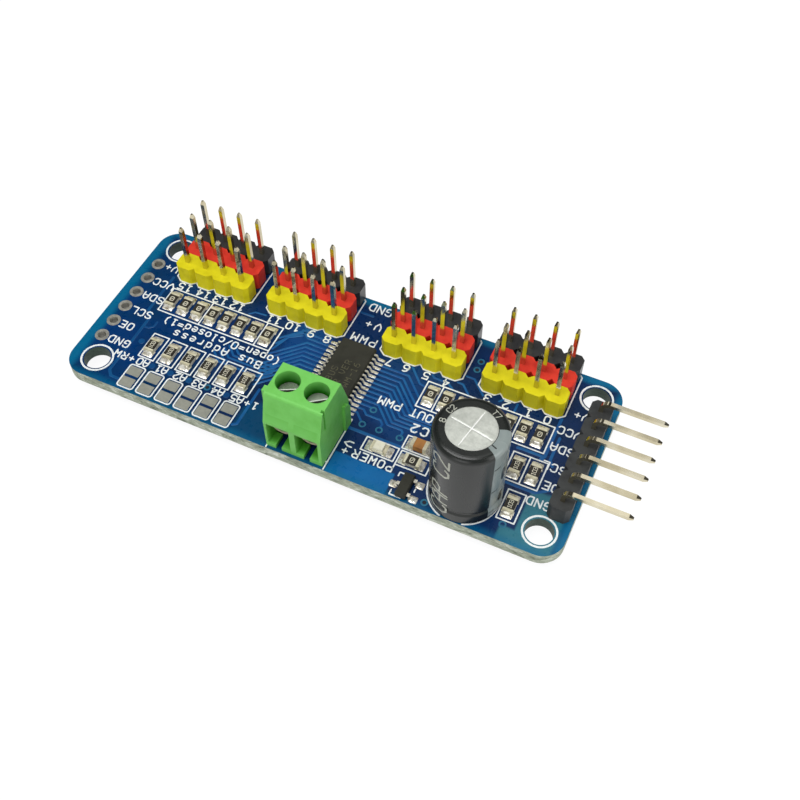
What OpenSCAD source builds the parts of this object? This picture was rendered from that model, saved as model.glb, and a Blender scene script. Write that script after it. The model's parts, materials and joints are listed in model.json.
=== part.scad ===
// Servo driver board: a small blue circuit board with sixteen three-pin
// servo positions in four groups, a two-way screw terminal for the servo
// supply, a right-angle control header, a row of bare control holes, one
// driver chip, a can capacitor and small surface parts.
// Frame: origin at the centre of the four mounting holes on the underside of
// the board, +X towards the right-angle header, +Y towards the servo headers,
// +Z up through the board.

/* [Board] */
// Length of the board along X
board_l = 62.2; // [62.1:0.1:64]
// Width of the board along Y
board_w = 24.7; // [24.7:0.1:27]
// Thickness of the bare board
board_t = 1.6; // [1.2:0.1:2]
// Radius of the board's corners
corner_r = 2.7; // [1.2:0.1:3.5]
// How far the outline sits off the centre of the mounting holes along X
board_dx = -0.2; // [-0.25:0.05:0.1]

/* [Mounting holes] */
// Spacing of the mounting holes along X
mount_x = 55.88; // [55.8:0.02:56]
// Spacing of the mounting holes along Y
mount_y = 19.05; // [19:0.01:19.1]
// Diameter of a mounting hole
mount_d = 3.2; // [2.5:0.1:3.4]

/* [Headers] */
// Height of a header's plastic strip
strip_h = 2.54; // [2:0.02:3]
// Corner cut between neighbouring positions of a strip
strip_cut = 0.5; // [0.2:0.05:0.7]
// Side of a square pin
pin_w = 0.5; // [0.44:0.02:0.66]
// Height of the servo pins above the board
pin_h = 8.35; // [6:0.05:11]
// Length of the solder tails below the board
tail_l = 1.4; // [1:0.1:2]
// Diameter of the plated holes for header pins
via_d = 1; // [0.96:0.02:1.1]

/* [Control header] */
// Height of the level run of the bent pins above the board
bend_z = 4.05; // [3.8:0.05:4.5]
// Centre-line radius of the bend
bend_r = 0.9; // [0.4:0.05:0.95]
// Position of the bent pins' tips along X
bend_tip = 36.6; // [34:0.1:39]

/* [Screw terminal] */
// Height of the housing above the board
term_h = 8.7; // [8.6:0.1:9.4]
// Width of the housing along X
term_w = 7; // [7:0.05:7.2]
// Diameter of a screw recess
recess_d = 2.8; // [2.7:0.05:2.9]
// Diameter of a screw head
head_d = 2.5; // [2.3:0.05:2.6]
// Diameter of a clamping screw's shank
shank_d = 1.8; // [1.6:0.05:1.8]

/* [Capacitor] */
// Diameter over the sleeve
cap_d = 8.1; // [7.5:0.1:8.2]
// Height above the board
cap_h = 12.35; // [9:0.05:14]
// Diameter of the bare disc on top
cap_disc_d = 5.4; // [4.5:0.1:5.8]

/* [Driver chip] */
// Length of the chip body along Y
chip_l = 9.7; // [9.5:0.05:9.7]
// Width of the chip body along X
chip_w = 4.4; // [4.2:0.05:4.5]
// Span over the tips of the leads
chip_span = 6.4; // [6.3:0.05:6.6]

/* [Hidden] */

e = 0.1;                              // overshoot of a cutting tool
pitch = 2.54;                         // header pitch
top = board_t;                        // level of the board's upper face
group_x = [-24.62, -11.93, 3.56, 16.26]; // first pin of each servo group
row_y = [6.46, 9.0, 11.54];           // signal, power and ground rows
bare_x = -29.4;                       // column of bare control holes
ctrl_x = 29.1;                        // column of the control header
ctrl_y = [for (i = [0:5]) 6.35 - i * pitch];
term_cx = -0.2;                       // middle of the screw terminal
term_s = [-2, 1.5];               // its two screws along X
term_y0 = -11.95;                     // front face of the housing
term_y1 = -5.1;                       // back face of the housing
term_sy = -8.6;                       // screws along Y
tpin_y = -6.85;                       // terminal solder pins along Y
tpin_r = 0.6;                         // radius of their holes
cap_c = [18.88, -8.3];               // middle of the can capacitor
cap_lead = 1.75;                      // its leads, off the middle along X
chip_c = [-0.2, 0];                   // middle of the driver chip
led_c = [8.05, -7.2];
cer_c = [12.05, -5.15];
ledres_c = [12.1, -7.32];
trans_c = [12.75, -10.65];
bus_c = [[22.8, -3.05], [24.88, -3.0], [23.98, -7.95]];
res_l_x = [for (i = [0:7]) -24.45 + 1.905 * i];
res_r_x = [for (i = [0:7]) 10.3 + 1.917 * i];
res_y = 1.78;
adr_x = [for (i = [0:5]) -22.8 + 2.52 * i];
adr_y = -5.42;

// ---------- helpers ----------
// A bar along Z whose four sides lean in towards both ends.
module lean_bar(wx, wy, z0, z1, cut, lean) {
  intersection() {
    rotate([90, 0, 0]) linear_extrude(height = wy, center = true)
      bar_side(wx / 2, z0, z1, cut, lean);
    rotate([90, 0, 90]) linear_extrude(height = wx, center = true)
      bar_side(wy / 2, z0, z1, cut, lean);
  }
}
module bar_side(h, z0, z1, cut, lean)
  polygon([[-h, z0 + cut], [-h + lean, z0], [h - lean, z0], [h, z0 + cut],
           [h, z1 - cut], [h - lean, z1], [-h + lean, z1], [-h, z1 - cut]]);

// Square with its corners cut, one header position.
module octagon2d(s, c) {
  h = s / 2;
  polygon([[-h, -h + c], [-h + c, -h], [h - c, -h], [h, -h + c],
           [h, h - c], [h - c, h], [-h + c, h], [-h, h - c]]);
}

// Plastic strip for n pins along X, first pin at the origin.
module strip(n) {
  linear_extrude(height = strip_h) difference() {
    for (i = [0:n - 1]) translate([i * pitch, 0]) octagon2d(pitch, strip_cut);
    for (i = [0:n - 1]) translate([i * pitch, 0]) square(pin_w, center = true);
  }
}
module servo_strip(g, r) translate([group_x[g], row_y[r], top]) strip(4);
module servo_pins(g, r)
  for (i = [0:3]) translate([group_x[g] + i * pitch, row_y[r], 0])
    lean_bar(pin_w, pin_w, -tail_l, top + pin_h, 0.5, 0.13);

// Chip resistor or capacitor, long side along Y.
module chip_mid(l, w, h, end) translate([-w / 2, -l / 2 + end, 0]) cube([w, l - 2 * end, h]);
module chip_ends(l, w, h, end)
  for (s = [0, 1]) mirror([0, s, 0]) translate([-w / 2, l / 2 - end, 0]) cube([w, end, h]);

// ---------- board ----------
module pcb() color("#1552a0") difference() {
  linear_extrude(height = board_t) difference() {
    translate([board_dx, 0]) {
      square([board_l - 2 * corner_r, board_w], center = true);
      square([board_l, board_w - 2 * corner_r], center = true);
      for (sx = [-1, 1], sy = [-1, 1])
        translate([sx * (board_l / 2 - corner_r), sy * (board_w / 2 - corner_r)])
          circle(corner_r, $fn = 64);
    }
    for (sx = [-1, 1], sy = [-1, 1])
      translate([sx * mount_x / 2, sy * mount_y / 2]) circle(mount_d / 2, $fn = 64);
    for (x = group_x, i = [0:3], y = row_y)
      translate([x + i * pitch, y]) circle(via_d / 2, $fn = 24);
    for (y = ctrl_y) {
      translate([bare_x, y]) circle(via_d / 2, $fn = 24);
      translate([ctrl_x, y]) circle(via_d / 2, $fn = 24);
    }
    for (x = term_s) translate([x, tpin_y]) circle(tpin_r, $fn = 24);
    for (s = [-1, 1])
      translate([cap_c[0] + s * cap_lead, cap_c[1]]) circle(0.4, $fn = 24);
  }
}

// ---------- servo headers ----------
module signal_header_1() color("#d8cf12") servo_strip(0, 0);
module signal_header_2() color("#d8cf12") servo_strip(1, 0);
module signal_header_3() color("#d8cf12") servo_strip(2, 0);
module signal_header_4() color("#d8cf12") servo_strip(3, 0);
module power_header_1() color("#e03a20") servo_strip(0, 1);
module power_header_2() color("#e03a20") servo_strip(1, 1);
module power_header_3() color("#e03a20") servo_strip(2, 1);
module power_header_4() color("#e03a20") servo_strip(3, 1);
module ground_header_1() color("#1b1b1d") servo_strip(0, 2);
module ground_header_2() color("#1b1b1d") servo_strip(1, 2);
module ground_header_3() color("#1b1b1d") servo_strip(2, 2);
module ground_header_4() color("#1b1b1d") servo_strip(3, 2);
module signal_pins_1() color("#b8b29a") servo_pins(0, 0);
module signal_pins_2() color("#b8b29a") servo_pins(1, 0);
module signal_pins_3() color("#b8b29a") servo_pins(2, 0);
module signal_pins_4() color("#b8b29a") servo_pins(3, 0);
module power_pins_1() color("#b8b29a") servo_pins(0, 1);
module power_pins_2() color("#b8b29a") servo_pins(1, 1);
module power_pins_3() color("#b8b29a") servo_pins(2, 1);
module power_pins_4() color("#b8b29a") servo_pins(3, 1);
module ground_pins_1() color("#b8b29a") servo_pins(0, 2);
module ground_pins_2() color("#b8b29a") servo_pins(1, 2);
module ground_pins_3() color("#b8b29a") servo_pins(2, 2);
module ground_pins_4() color("#b8b29a") servo_pins(3, 2);

// ---------- right-angle control header ----------
module control_header() color("#26262a")
  translate([ctrl_x, ctrl_y[0], top]) rotate([0, 0, -90]) strip(6);

// One bent pin in its own plane: up through the board, round a quarter
// bend, then level outwards along X.
module bent_pin() {
  zc = top + bend_z;
  // leg
  translate([0, 0, -tail_l]) intersection() {
    rotate([90, 0, 0]) linear_extrude(height = pin_w, center = true)
      polygon([[-pin_w / 2, 0.4], [-pin_w / 2 + 0.12, 0], [pin_w / 2 - 0.12, 0], [pin_w / 2, 0.4],
               [pin_w / 2, tail_l + zc - bend_r], [-pin_w / 2, tail_l + zc - bend_r]]);
    rotate([90, 0, 90]) linear_extrude(height = pin_w, center = true)
      polygon([[-pin_w / 2, 0.4], [-pin_w / 2 + 0.12, 0], [pin_w / 2 - 0.12, 0], [pin_w / 2, 0.4],
               [pin_w / 2, tail_l + zc - bend_r], [-pin_w / 2, tail_l + zc - bend_r]]);
  }
  // quarter bend
  translate([bend_r, 0, zc - bend_r]) rotate([90, 0, 0]) rotate([0, 0, 90])
    rotate_extrude(angle = 90, $fn = 64)
      translate([bend_r, 0]) square(pin_w, center = true);
  // level run with a pointed tip
  intersection() {
    translate([0, 0, zc]) rotate([90, 0, 0]) linear_extrude(height = pin_w, center = true)
      run_side();
    translate([0, 0, zc - pin_w / 2]) linear_extrude(height = pin_w) run_side();
  }
}
module run_side() {
  x0 = bend_r;
  x1 = bend_tip - ctrl_x;
  polygon([[x0, -pin_w / 2], [x1 - 0.5, -pin_w / 2], [x1, -pin_w / 2 + 0.13],
           [x1, pin_w / 2 - 0.13], [x1 - 0.5, pin_w / 2], [x0, pin_w / 2]]);
}
module control_pins() color("#b8b29a")
  for (y = ctrl_y) translate([ctrl_x, y, 0]) bent_pin();

// ---------- screw terminal ----------
// Levels above the board's upper face
t_seat = 6.3;       // shelf that a screw head turns on
head_h = 0.6;       // thickness of a screw head
t_ceil = 5.85;      // roof of a cage's chamber
t_win0 = 0.6;       // sill of a wire entry
t_win1 = 4.3;       // head of a wire entry
t_front = term_y0 + 0.6; // back of the front wall
t_back = -6.6;      // back of a cage's chamber
t_half = 1.4;       // half width of a chamber

module term_side() polygon([[term_y0, 0], [term_y0, 4.6],
  [term_y0 + 0.92, term_h - 0.3], [term_y0 + 1.03, term_h - 0.1], [term_y0 + 1.25, term_h],
  [-6.5, term_h], [term_y1, 4.2], [term_y1, 0]]);

module terminal_housing() color("#4fb04a") translate([0, 0, top]) {
  difference() {
    union() {
      translate([term_cx - term_w / 2, 0, 0]) rotate([90, 0, 90])
        linear_extrude(height = term_w) term_side();
      // joining tab at the left front and joining rib at the right back
      translate([term_cx - term_w / 2 - 0.35, term_y0 + 1.2, 3]) cube([0.4, 0.75, term_h - 3]);
      translate([term_cx + term_w / 2 - 0.05, 0, 0]) rotate([90, 0, 90])
        linear_extrude(height = 0.35)
          polygon([[-6.6, 0], [-6.6, 4.6], [-5.75, 4.2], [-5.3, 3.4], [-5.3, 0]]);
    }
    for (x = term_s) {
      // screw recess and shank hole
      translate([x, term_sy, t_seat]) cylinder(d = recess_d, h = term_h, $fn = 48);
      translate([x, term_sy, t_ceil - e]) cylinder(d = 2, h = 1, $fn = 48);
      // chamber for the cage
      translate([x - t_half, t_front, -e]) cube([2 * t_half, t_back - t_front, t_ceil + e]);
      // wire entry through the front wall
      translate([x - t_half, term_y0 - 1, t_win0]) cube([2 * t_half, 1.7, t_win1 - t_win0]);
      // gap between the two feet of an entry
      translate([x - 0.5, term_y0 - 1, -e]) cube([0.75, 1.7, 1]);
    }
    // joining slots: right front and left back
    translate([term_cx + term_w / 2 - 0.32, term_y0 + 1.2, 5.3]) cube([1, 0.34, term_h]);
    translate([term_cx - term_w / 2 - 1, -6.65, -e]) cube([1.32, 1.4, 4.8]);
  }
  // feet that carry the wire entries
  for (x = term_s) {
    translate([x - t_half, t_front - 0.02, 0]) cube([t_half - 0.5, 1.1, t_win0]);
    translate([x + 0.25, t_front - 0.02, 0]) cube([t_half - 0.25, 1.1, t_win0]);
  }
}

module term_screw(x, turn) translate([x, term_sy, top]) difference() {
  union() {
    translate([0, 0, t_seat]) cylinder(d = head_d, h = head_h, $fn = 48);
    translate([0, 0, 3.75]) cylinder(d = shank_d, h = t_seat - 3.7, $fn = 48);
  }
  translate([0, 0, t_seat + head_h]) rotate([0, 0, turn]) cube([4, 0.38, 0.76], center = true);
}
module terminal_screw_left() color("#c9cbc8") term_screw(term_s[0], 27);
module terminal_screw_right() color("#c9cbc8") term_screw(term_s[1], 36);

// Rising cage: a bent box open to the front and back, with a threaded roof
// and a floor that sags in the middle to centre the wire.
function sag(w, z, d) = [for (a = [-60:20:60])
  [w * sin(a) / sin(60), z + d * (1 - cos(a)) / (1 - cos(60))]];
module term_cage(x) translate([x, 0, top]) difference() {
  translate([0, -7.1, 0]) rotate([90, 0, 0]) linear_extrude(height = 3.9) difference() {
    polygon(concat([[-1.2, 5.05]], sag(1.2, 2.1, 0.6), [[1.2, 5.05]]));
    polygon(concat([[-0.95, 4.65]], sag(0.95, 2.45, 0.4), [[0.95, 4.65]]));
  }
  translate([0, term_sy, 4.4]) cylinder(d = 1.86, h = 1, $fn = 48);
}
module terminal_cage_left() color("#a8a08c") term_cage(term_s[0]);
module terminal_cage_right() color("#a8a08c") term_cage(term_s[1]);

// Fixed contact: tongue through the cage, upright at the back, solder pin.
module term_contact(x) translate([x, 0, top]) union() {
  translate([-0.8, -10.9, 3.3]) cube([1.6, 4.3, 0.3]);
  translate([-0.8, -6.9, 0]) cube([1.6, 0.3, 3.5]);
  translate([-0.4, tpin_y - 0.25, -board_t - tail_l]) cube([0.8, 0.5, board_t + tail_l + 0.4]);
}
module terminal_contact_left() color("#b9b6a6") term_contact(term_s[0]);
module terminal_contact_right() color("#b9b6a6") term_contact(term_s[1]);

// ---------- can capacitor ----------
cr = cap_d / 2 - 0.15;                // outer radius of the can
ct = cap_h - 0.15;                    // top of the can
// Outline of the can's outer skin from the foot to the rim, grown by g
function can_skin(g) = concat(
  [[cr + g, 0.4], [cr + g, 1.5], [cr - 0.12 + g, 1.85], [cr - 0.12 + g, 2.05], [cr + g, 2.4]],
  [for (a = [0:15:90]) [cr - 0.55 + (0.55 + g) * cos(a), ct - 0.55 + (0.55 + g) * sin(a)]]);
module capacitor_can() color("#d4d4d2") translate([cap_c[0], cap_c[1], top])
  rotate_extrude($fn = 64) polygon(concat(
    can_skin(0), [[0, ct], [0, ct - 0.3], [cr - 0.5, ct - 0.3], [cr - 0.25, ct - 0.55], [cr - 0.25, 2.55],
    [cr - 0.55, 2.2], [cr - 0.55, 1.7], [cr - 0.25, 1.35], [cr - 0.25, 0.4]]));
module capacitor_sleeve() color("#2c2e30") translate([cap_c[0], cap_c[1], top])
  rotate_extrude($fn = 64) polygon(concat(
    [[cr - 0.3, 0.25], [cr + 0.15, 0.25]],
    [for (p = can_skin(0.15)) p],
    [[cap_disc_d / 2, ct + 0.15], [cap_disc_d / 2, ct]],
    [for (i = [len(can_skin(0)) - 1:-1:0]) can_skin(0)[i]], [[cr - 0.3, 0.4]]));
module capacitor_bung() color("#222222") translate([cap_c[0], cap_c[1], top]) difference() {
  translate([0, 0, 0.4]) cylinder(r = cr - 0.55, h = 1.8, $fn = 64);
  for (s = [-1, 1]) translate([s * cap_lead, 0, 0]) cylinder(r = 0.3, h = 3, $fn = 24);
}
module capacitor_winding() color("#8a7a58")
  translate([cap_c[0], cap_c[1], top + 2.7]) cylinder(r = cr - 0.45, h = ct - 3.7, $fn = 64);
module capacitor_leads() color("#b8b8b8")
  for (s = [-1, 1]) translate([cap_c[0] + s * cap_lead, cap_c[1], -tail_l])
    cylinder(r = 0.3, h = tail_l + top + 2.7, $fn = 24);

// ---------- driver chip ----------
module driver_chip_body() color("#3d3b38")
  translate([chip_c[0], chip_c[1], top]) intersection() {
    rotate([90, 0, 0]) linear_extrude(height = chip_l, center = true) chip_side(chip_w / 2);
    rotate([90, 0, 90]) linear_extrude(height = chip_w, center = true) chip_side(chip_l / 2);
  }
module chip_side(h) polygon([[-h, 0.48], [-h + 0.09, 0.1], [h - 0.09, 0.1], [h, 0.48],
  [h, 0.68], [h - 0.09, 1.1], [-h + 0.09, 1.1], [-h, 0.68]]);
// One gull-wing lead: b body side, s tip, t thickness, z level it leaves at
module gull(b, s, w, t, z) rotate([90, 0, 0]) linear_extrude(height = w, center = true)
  polygon([[b, z], [b + 0.28, z], [s - 0.55, 0], [s, 0], [s, t],
           [s - 0.5 + 0.02, t], [b + 0.36, z + t], [b, z + t]]);
module driver_chip_leads() color("#cfcfc8") translate([chip_c[0], chip_c[1], top])
  for (m = [0, 1], i = [0:13]) mirror([m, 0, 0])
    translate([0, (i - 6.5) * 0.65, 0]) gull(chip_w / 2, chip_span / 2, 0.24, 0.14, 0.5);

// ---------- small surface parts ----------
module transistor_body() color("#3a3a38") translate([trans_c[0], trans_c[1], top])
  lean_bar(1.3, 2.9, 0.06, 1.05, 0.45, 0.08);
module transistor_leads() color("#c4c6c2") translate([trans_c[0], trans_c[1], top]) {
  mirror([1, 0, 0]) gull(0.65, 1.35, 0.42, 0.12, 0.51);
  for (s = [-1, 1]) translate([0, s * 0.95, 0]) gull(0.65, 1.35, 0.42, 0.12, 0.51);
}
module power_led_body() color("#e9e6d2") translate([led_c[0], led_c[1], top]) rotate([0, 0, 90]) {
  chip_mid(2, 1.25, 0.4, 0.36);
  translate([0, 0, 0.4]) lean_bar(1.15, 1.22, 0, 0.42, 0.2, 0.07);
}
module power_led_ends() color("#cfd0cb") translate([led_c[0], led_c[1], top]) rotate([0, 0, 90])
  chip_ends(2, 1.25, 0.45, 0.36);
module ceramic_capacitor_body() color("#8a5c30") translate([cer_c[0], cer_c[1], top])
  rotate([0, 0, 90]) chip_mid(2, 1.25, 0.85, 0.42);
module ceramic_capacitor_ends() color("#cfd0cb") translate([cer_c[0], cer_c[1], top])
  rotate([0, 0, 90]) chip_ends(2, 1.25, 0.9, 0.42);

module res_mid() chip_mid(2, 1.25, 0.5, 0.38);
module res_ends() chip_ends(2, 1.25, 0.54, 0.38);
module series_resistors_left() color("#2e2c28")
  for (x = res_l_x) translate([x, res_y, top]) res_mid();
module series_resistor_ends_left() color("#cfcdbc")
  for (x = res_l_x) translate([x, res_y, top]) res_ends();
module series_resistors_right() color("#2e2c28")
  for (x = res_r_x) translate([x, res_y + 0.07, top]) res_mid();
module series_resistor_ends_right() color("#cfcdbc")
  for (x = res_r_x) translate([x, res_y + 0.07, top]) res_ends();
module address_resistors() color("#2e2c28")
  for (x = adr_x) translate([x, adr_y, top]) res_mid();
module address_resistor_ends() color("#cfcdbc")
  for (x = adr_x) translate([x, adr_y, top]) res_ends();
module bus_resistors() color("#2e2c28")
  for (p = bus_c) translate([p[0], p[1], top]) res_mid();
module bus_resistor_ends() color("#cfcdbc")
  for (p = bus_c) translate([p[0], p[1], top]) res_ends();
module led_resistor() color("#2e2c28")
  translate([ledres_c[0], ledres_c[1], top]) rotate([0, 0, 90]) res_mid();
module led_resistor_ends() color("#cfcdbc")
  translate([ledres_c[0], ledres_c[1], top]) rotate([0, 0, 90]) res_ends();

// ---------- output ----------
pcb();
signal_header_1();
signal_header_2();
signal_header_3();
signal_header_4();
power_header_1();
power_header_2();
power_header_3();
power_header_4();
ground_header_1();
ground_header_2();
ground_header_3();
ground_header_4();
signal_pins_1();
signal_pins_2();
signal_pins_3();
signal_pins_4();
power_pins_1();
power_pins_2();
power_pins_3();
power_pins_4();
ground_pins_1();
ground_pins_2();
ground_pins_3();
ground_pins_4();
control_header();
control_pins();
terminal_housing();
terminal_screw_left();
terminal_screw_right();
terminal_cage_left();
terminal_cage_right();
terminal_contact_left();
terminal_contact_right();
capacitor_can();
capacitor_sleeve();
capacitor_bung();
capacitor_winding();
capacitor_leads();
driver_chip_body();
driver_chip_leads();
transistor_body();
transistor_leads();
power_led_body();
power_led_ends();
ceramic_capacitor_body();
ceramic_capacitor_ends();
series_resistors_left();
series_resistor_ends_left();
series_resistors_right();
series_resistor_ends_right();
address_resistors();
address_resistor_ends();
bus_resistors();
bus_resistor_ends();
led_resistor();
led_resistor_ends();
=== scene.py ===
import json
import math

import bpy
from mathutils import Matrix, Vector


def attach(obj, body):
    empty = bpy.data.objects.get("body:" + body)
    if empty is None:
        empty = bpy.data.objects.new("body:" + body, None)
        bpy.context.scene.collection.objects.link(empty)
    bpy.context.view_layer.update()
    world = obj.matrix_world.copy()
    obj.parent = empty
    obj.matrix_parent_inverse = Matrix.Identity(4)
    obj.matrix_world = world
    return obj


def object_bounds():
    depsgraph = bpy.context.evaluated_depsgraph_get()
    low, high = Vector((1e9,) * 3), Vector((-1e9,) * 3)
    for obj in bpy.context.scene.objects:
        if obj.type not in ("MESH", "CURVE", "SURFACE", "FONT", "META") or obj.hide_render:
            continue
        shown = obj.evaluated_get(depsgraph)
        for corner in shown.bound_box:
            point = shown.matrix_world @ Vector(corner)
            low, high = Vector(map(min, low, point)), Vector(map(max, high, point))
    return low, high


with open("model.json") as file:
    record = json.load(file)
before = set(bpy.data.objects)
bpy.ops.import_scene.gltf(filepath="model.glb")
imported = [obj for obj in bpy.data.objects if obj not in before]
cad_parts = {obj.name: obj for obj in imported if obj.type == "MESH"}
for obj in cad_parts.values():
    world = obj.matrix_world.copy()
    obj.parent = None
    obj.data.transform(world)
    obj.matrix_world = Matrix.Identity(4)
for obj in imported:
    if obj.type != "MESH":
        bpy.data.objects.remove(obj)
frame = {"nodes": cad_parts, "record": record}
cad_lo, cad_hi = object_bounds()
nodes = frame["nodes"]
slot_of = {s["node"]: s["material_slot"] for s in frame["record"]["subparts"]}
scene = bpy.context.scene

MM = 0.001
TOP = 1.6          # upper face of the board, mm
GROUP_X = [-24.62, -11.93, 3.56, 16.26]
ROW_Y = [6.46, 9.0, 11.54]
PITCH = 2.54
CTRL_Y = [6.35 - PITCH * i for i in range(6)]
CAP = (18.88, -8.3)


# ---------------------------------------------------------------- materials
def lin(r, g, b):
    """An sRGB colour, 0 to 255, as linear RGBA."""
    out = []
    for c in (r, g, b):
        c /= 255.0
        out.append(c / 12.92 if c <= 0.04045 else ((c + 0.055) / 1.055) ** 2.4)
    return (*out, 1.0)


class Mat:
    """A Principled material with short calls for the nodes it needs."""

    def __init__(self, name, rgb=(128, 128, 128), rough=0.5, metal=0.0, spec=0.5):
        self.m = bpy.data.materials.new(name)
        self.m.use_nodes = True
        self.nt = self.m.node_tree
        self.b = self.nt.nodes["Principled BSDF"]
        self.b.inputs["Base Color"].default_value = lin(*rgb)
        self.b.inputs["Roughness"].default_value = rough
        self.b.inputs["Metallic"].default_value = metal
        self.b.inputs["Specular IOR Level"].default_value = spec
        self.tc = self.nt.nodes.new("ShaderNodeTexCoord")
        self.pos = self.tc.outputs["Object"]

    def link(self, a, b):
        self.nt.links.new(a, b)

    def scaled(self, x=1.0, y=1.0, z=1.0, src=None):
        n = self.nt.nodes.new("ShaderNodeVectorMath")
        n.operation = "MULTIPLY"
        self.link(src or self.pos, n.inputs[0])
        n.inputs[1].default_value = (x, y, z)
        return n.outputs[0]

    def noise(self, scale, detail=3.0, rough=0.55, vec=None, dist=0.0):
        """scale is in cycles per millimetre."""
        n = self.nt.nodes.new("ShaderNodeTexNoise")
        n.inputs["Scale"].default_value = scale * 1000.0
        n.inputs["Detail"].default_value = detail
        n.inputs["Roughness"].default_value = rough
        n.inputs["Distortion"].default_value = dist
        self.link(vec or self.pos, n.inputs["Vector"])
        return n.outputs["Fac"]

    def voronoi(self, scale, vec=None, feature="F1"):
        n = self.nt.nodes.new("ShaderNodeTexVoronoi")
        n.feature = feature
        n.inputs["Scale"].default_value = scale * 1000.0
        self.link(vec or self.pos, n.inputs["Vector"])
        return n.outputs["Distance"]

    def ramp(self, fac, stops, mode="LINEAR"):
        n = self.nt.nodes.new("ShaderNodeValToRGB")
        n.color_ramp.interpolation = mode
        els = n.color_ramp.elements
        while len(els) < len(stops):
            els.new(0.5)
        for e, (p, c) in zip(els, stops):
            e.position = p
            e.color = c if len(c) == 4 else lin(*c)
        self.link(fac, n.inputs["Fac"])
        return n.outputs["Color"]

    def mapr(self, v, a, b, c, d, kind="LINEAR"):
        n = self.nt.nodes.new("ShaderNodeMapRange")
        n.interpolation_type = kind
        for i, x in zip((1, 2, 3, 4), (a, b, c, d)):
            n.inputs[i].default_value = x
        self.link(v, n.inputs[0])
        return n.outputs[0]

    def math(self, op, a, b=None, c=None):
        n = self.nt.nodes.new("ShaderNodeMath")
        n.operation = op
        for i, x in enumerate((a, b, c)):
            if x is None:
                continue
            if isinstance(x, (int, float)):
                n.inputs[i].default_value = x
            else:
                self.link(x, n.inputs[i])
        return n.outputs[0]

    def mix(self, fac, a, b):
        n = self.nt.nodes.new("ShaderNodeMix")
        n.data_type = "RGBA"
        if isinstance(fac, (int, float)):
            n.inputs["Factor"].default_value = fac
        else:
            self.link(fac, n.inputs["Factor"])
        for x, i in ((a, 6), (b, 7)):
            if isinstance(x, tuple):
                n.inputs[i].default_value = x if len(x) == 4 else lin(*x)
            else:
                self.link(x, n.inputs[i])
        return n.outputs[2]

    def xyz(self, src=None):
        n = self.nt.nodes.new("ShaderNodeSeparateXYZ")
        self.link(src or self.pos, n.inputs[0])
        return n.outputs

    def normal_z(self):
        g = self.nt.nodes.new("ShaderNodeNewGeometry")
        return self.xyz(g.outputs["Normal"])[2]

    def base(self, col):
        self.link(col, self.b.inputs["Base Color"])
        return self

    def roughness(self, val):
        self.link(val, self.b.inputs["Roughness"])
        return self

    def bump(self, height, strength=0.3, dist_mm=0.05):
        n = self.nt.nodes.new("ShaderNodeBump")
        n.inputs["Strength"].default_value = strength
        n.inputs["Distance"].default_value = dist_mm * MM
        self.link(height, n.inputs["Height"])
        self.link(n.outputs["Normal"], self.b.inputs["Normal"])
        return self


def plastic(name, rgb, dark, rough=0.42, spec=0.45, grain=0.25):
    m = Mat(name, rgb, rough, 0.0, spec)
    n = m.noise(0.5, 3, 0.55)
    m.base(m.ramp(n, [(0.3, dark), (0.55, rgb), (1.0, rgb)]))
    m.roughness(m.mapr(m.noise(1.5, 2), 0.3, 0.7, rough - 0.05, rough + 0.08))
    m.bump(m.noise(2.6, 2), grain, 0.02)
    return m


def metal(name, rgb, dark, rough=0.25, streak=(1, 1, 1), scale=3.0, grain=0.3, share=1.0):
    m = Mat(name, rgb, rough, share)
    v = m.scaled(*streak)
    n = m.noise(scale, 4, 0.6, vec=v)
    m.base(m.ramp(n, [(0.28, dark), (0.6, rgb), (1.0, rgb)]))
    m.roughness(m.mapr(m.noise(scale * 0.5, 3, vec=v), 0.3, 0.7, rough - 0.06, rough + 0.12))
    m.bump(m.noise(scale * 2.0, 3, vec=v), grain, 0.015)
    return m


def sleeve_material(name, rgb, dark):
    """Thin shrunk film: glossy, with slow vertical ripples and no grain."""
    m = Mat(name, rgb, 0.26, 0.0, 0.4)
    v = m.scaled(1.0, 1.0, 0.3)
    m.base(m.ramp(m.noise(0.35, 2, vec=v), [(0.35, dark), (0.6, rgb), (1.0, rgb)]))
    m.roughness(m.mapr(m.noise(0.4, 2, vec=v), 0.3, 0.7, 0.2, 0.32))
    m.bump(m.noise(0.5, 2, vec=v), 0.12, 0.10)
    return m


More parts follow.
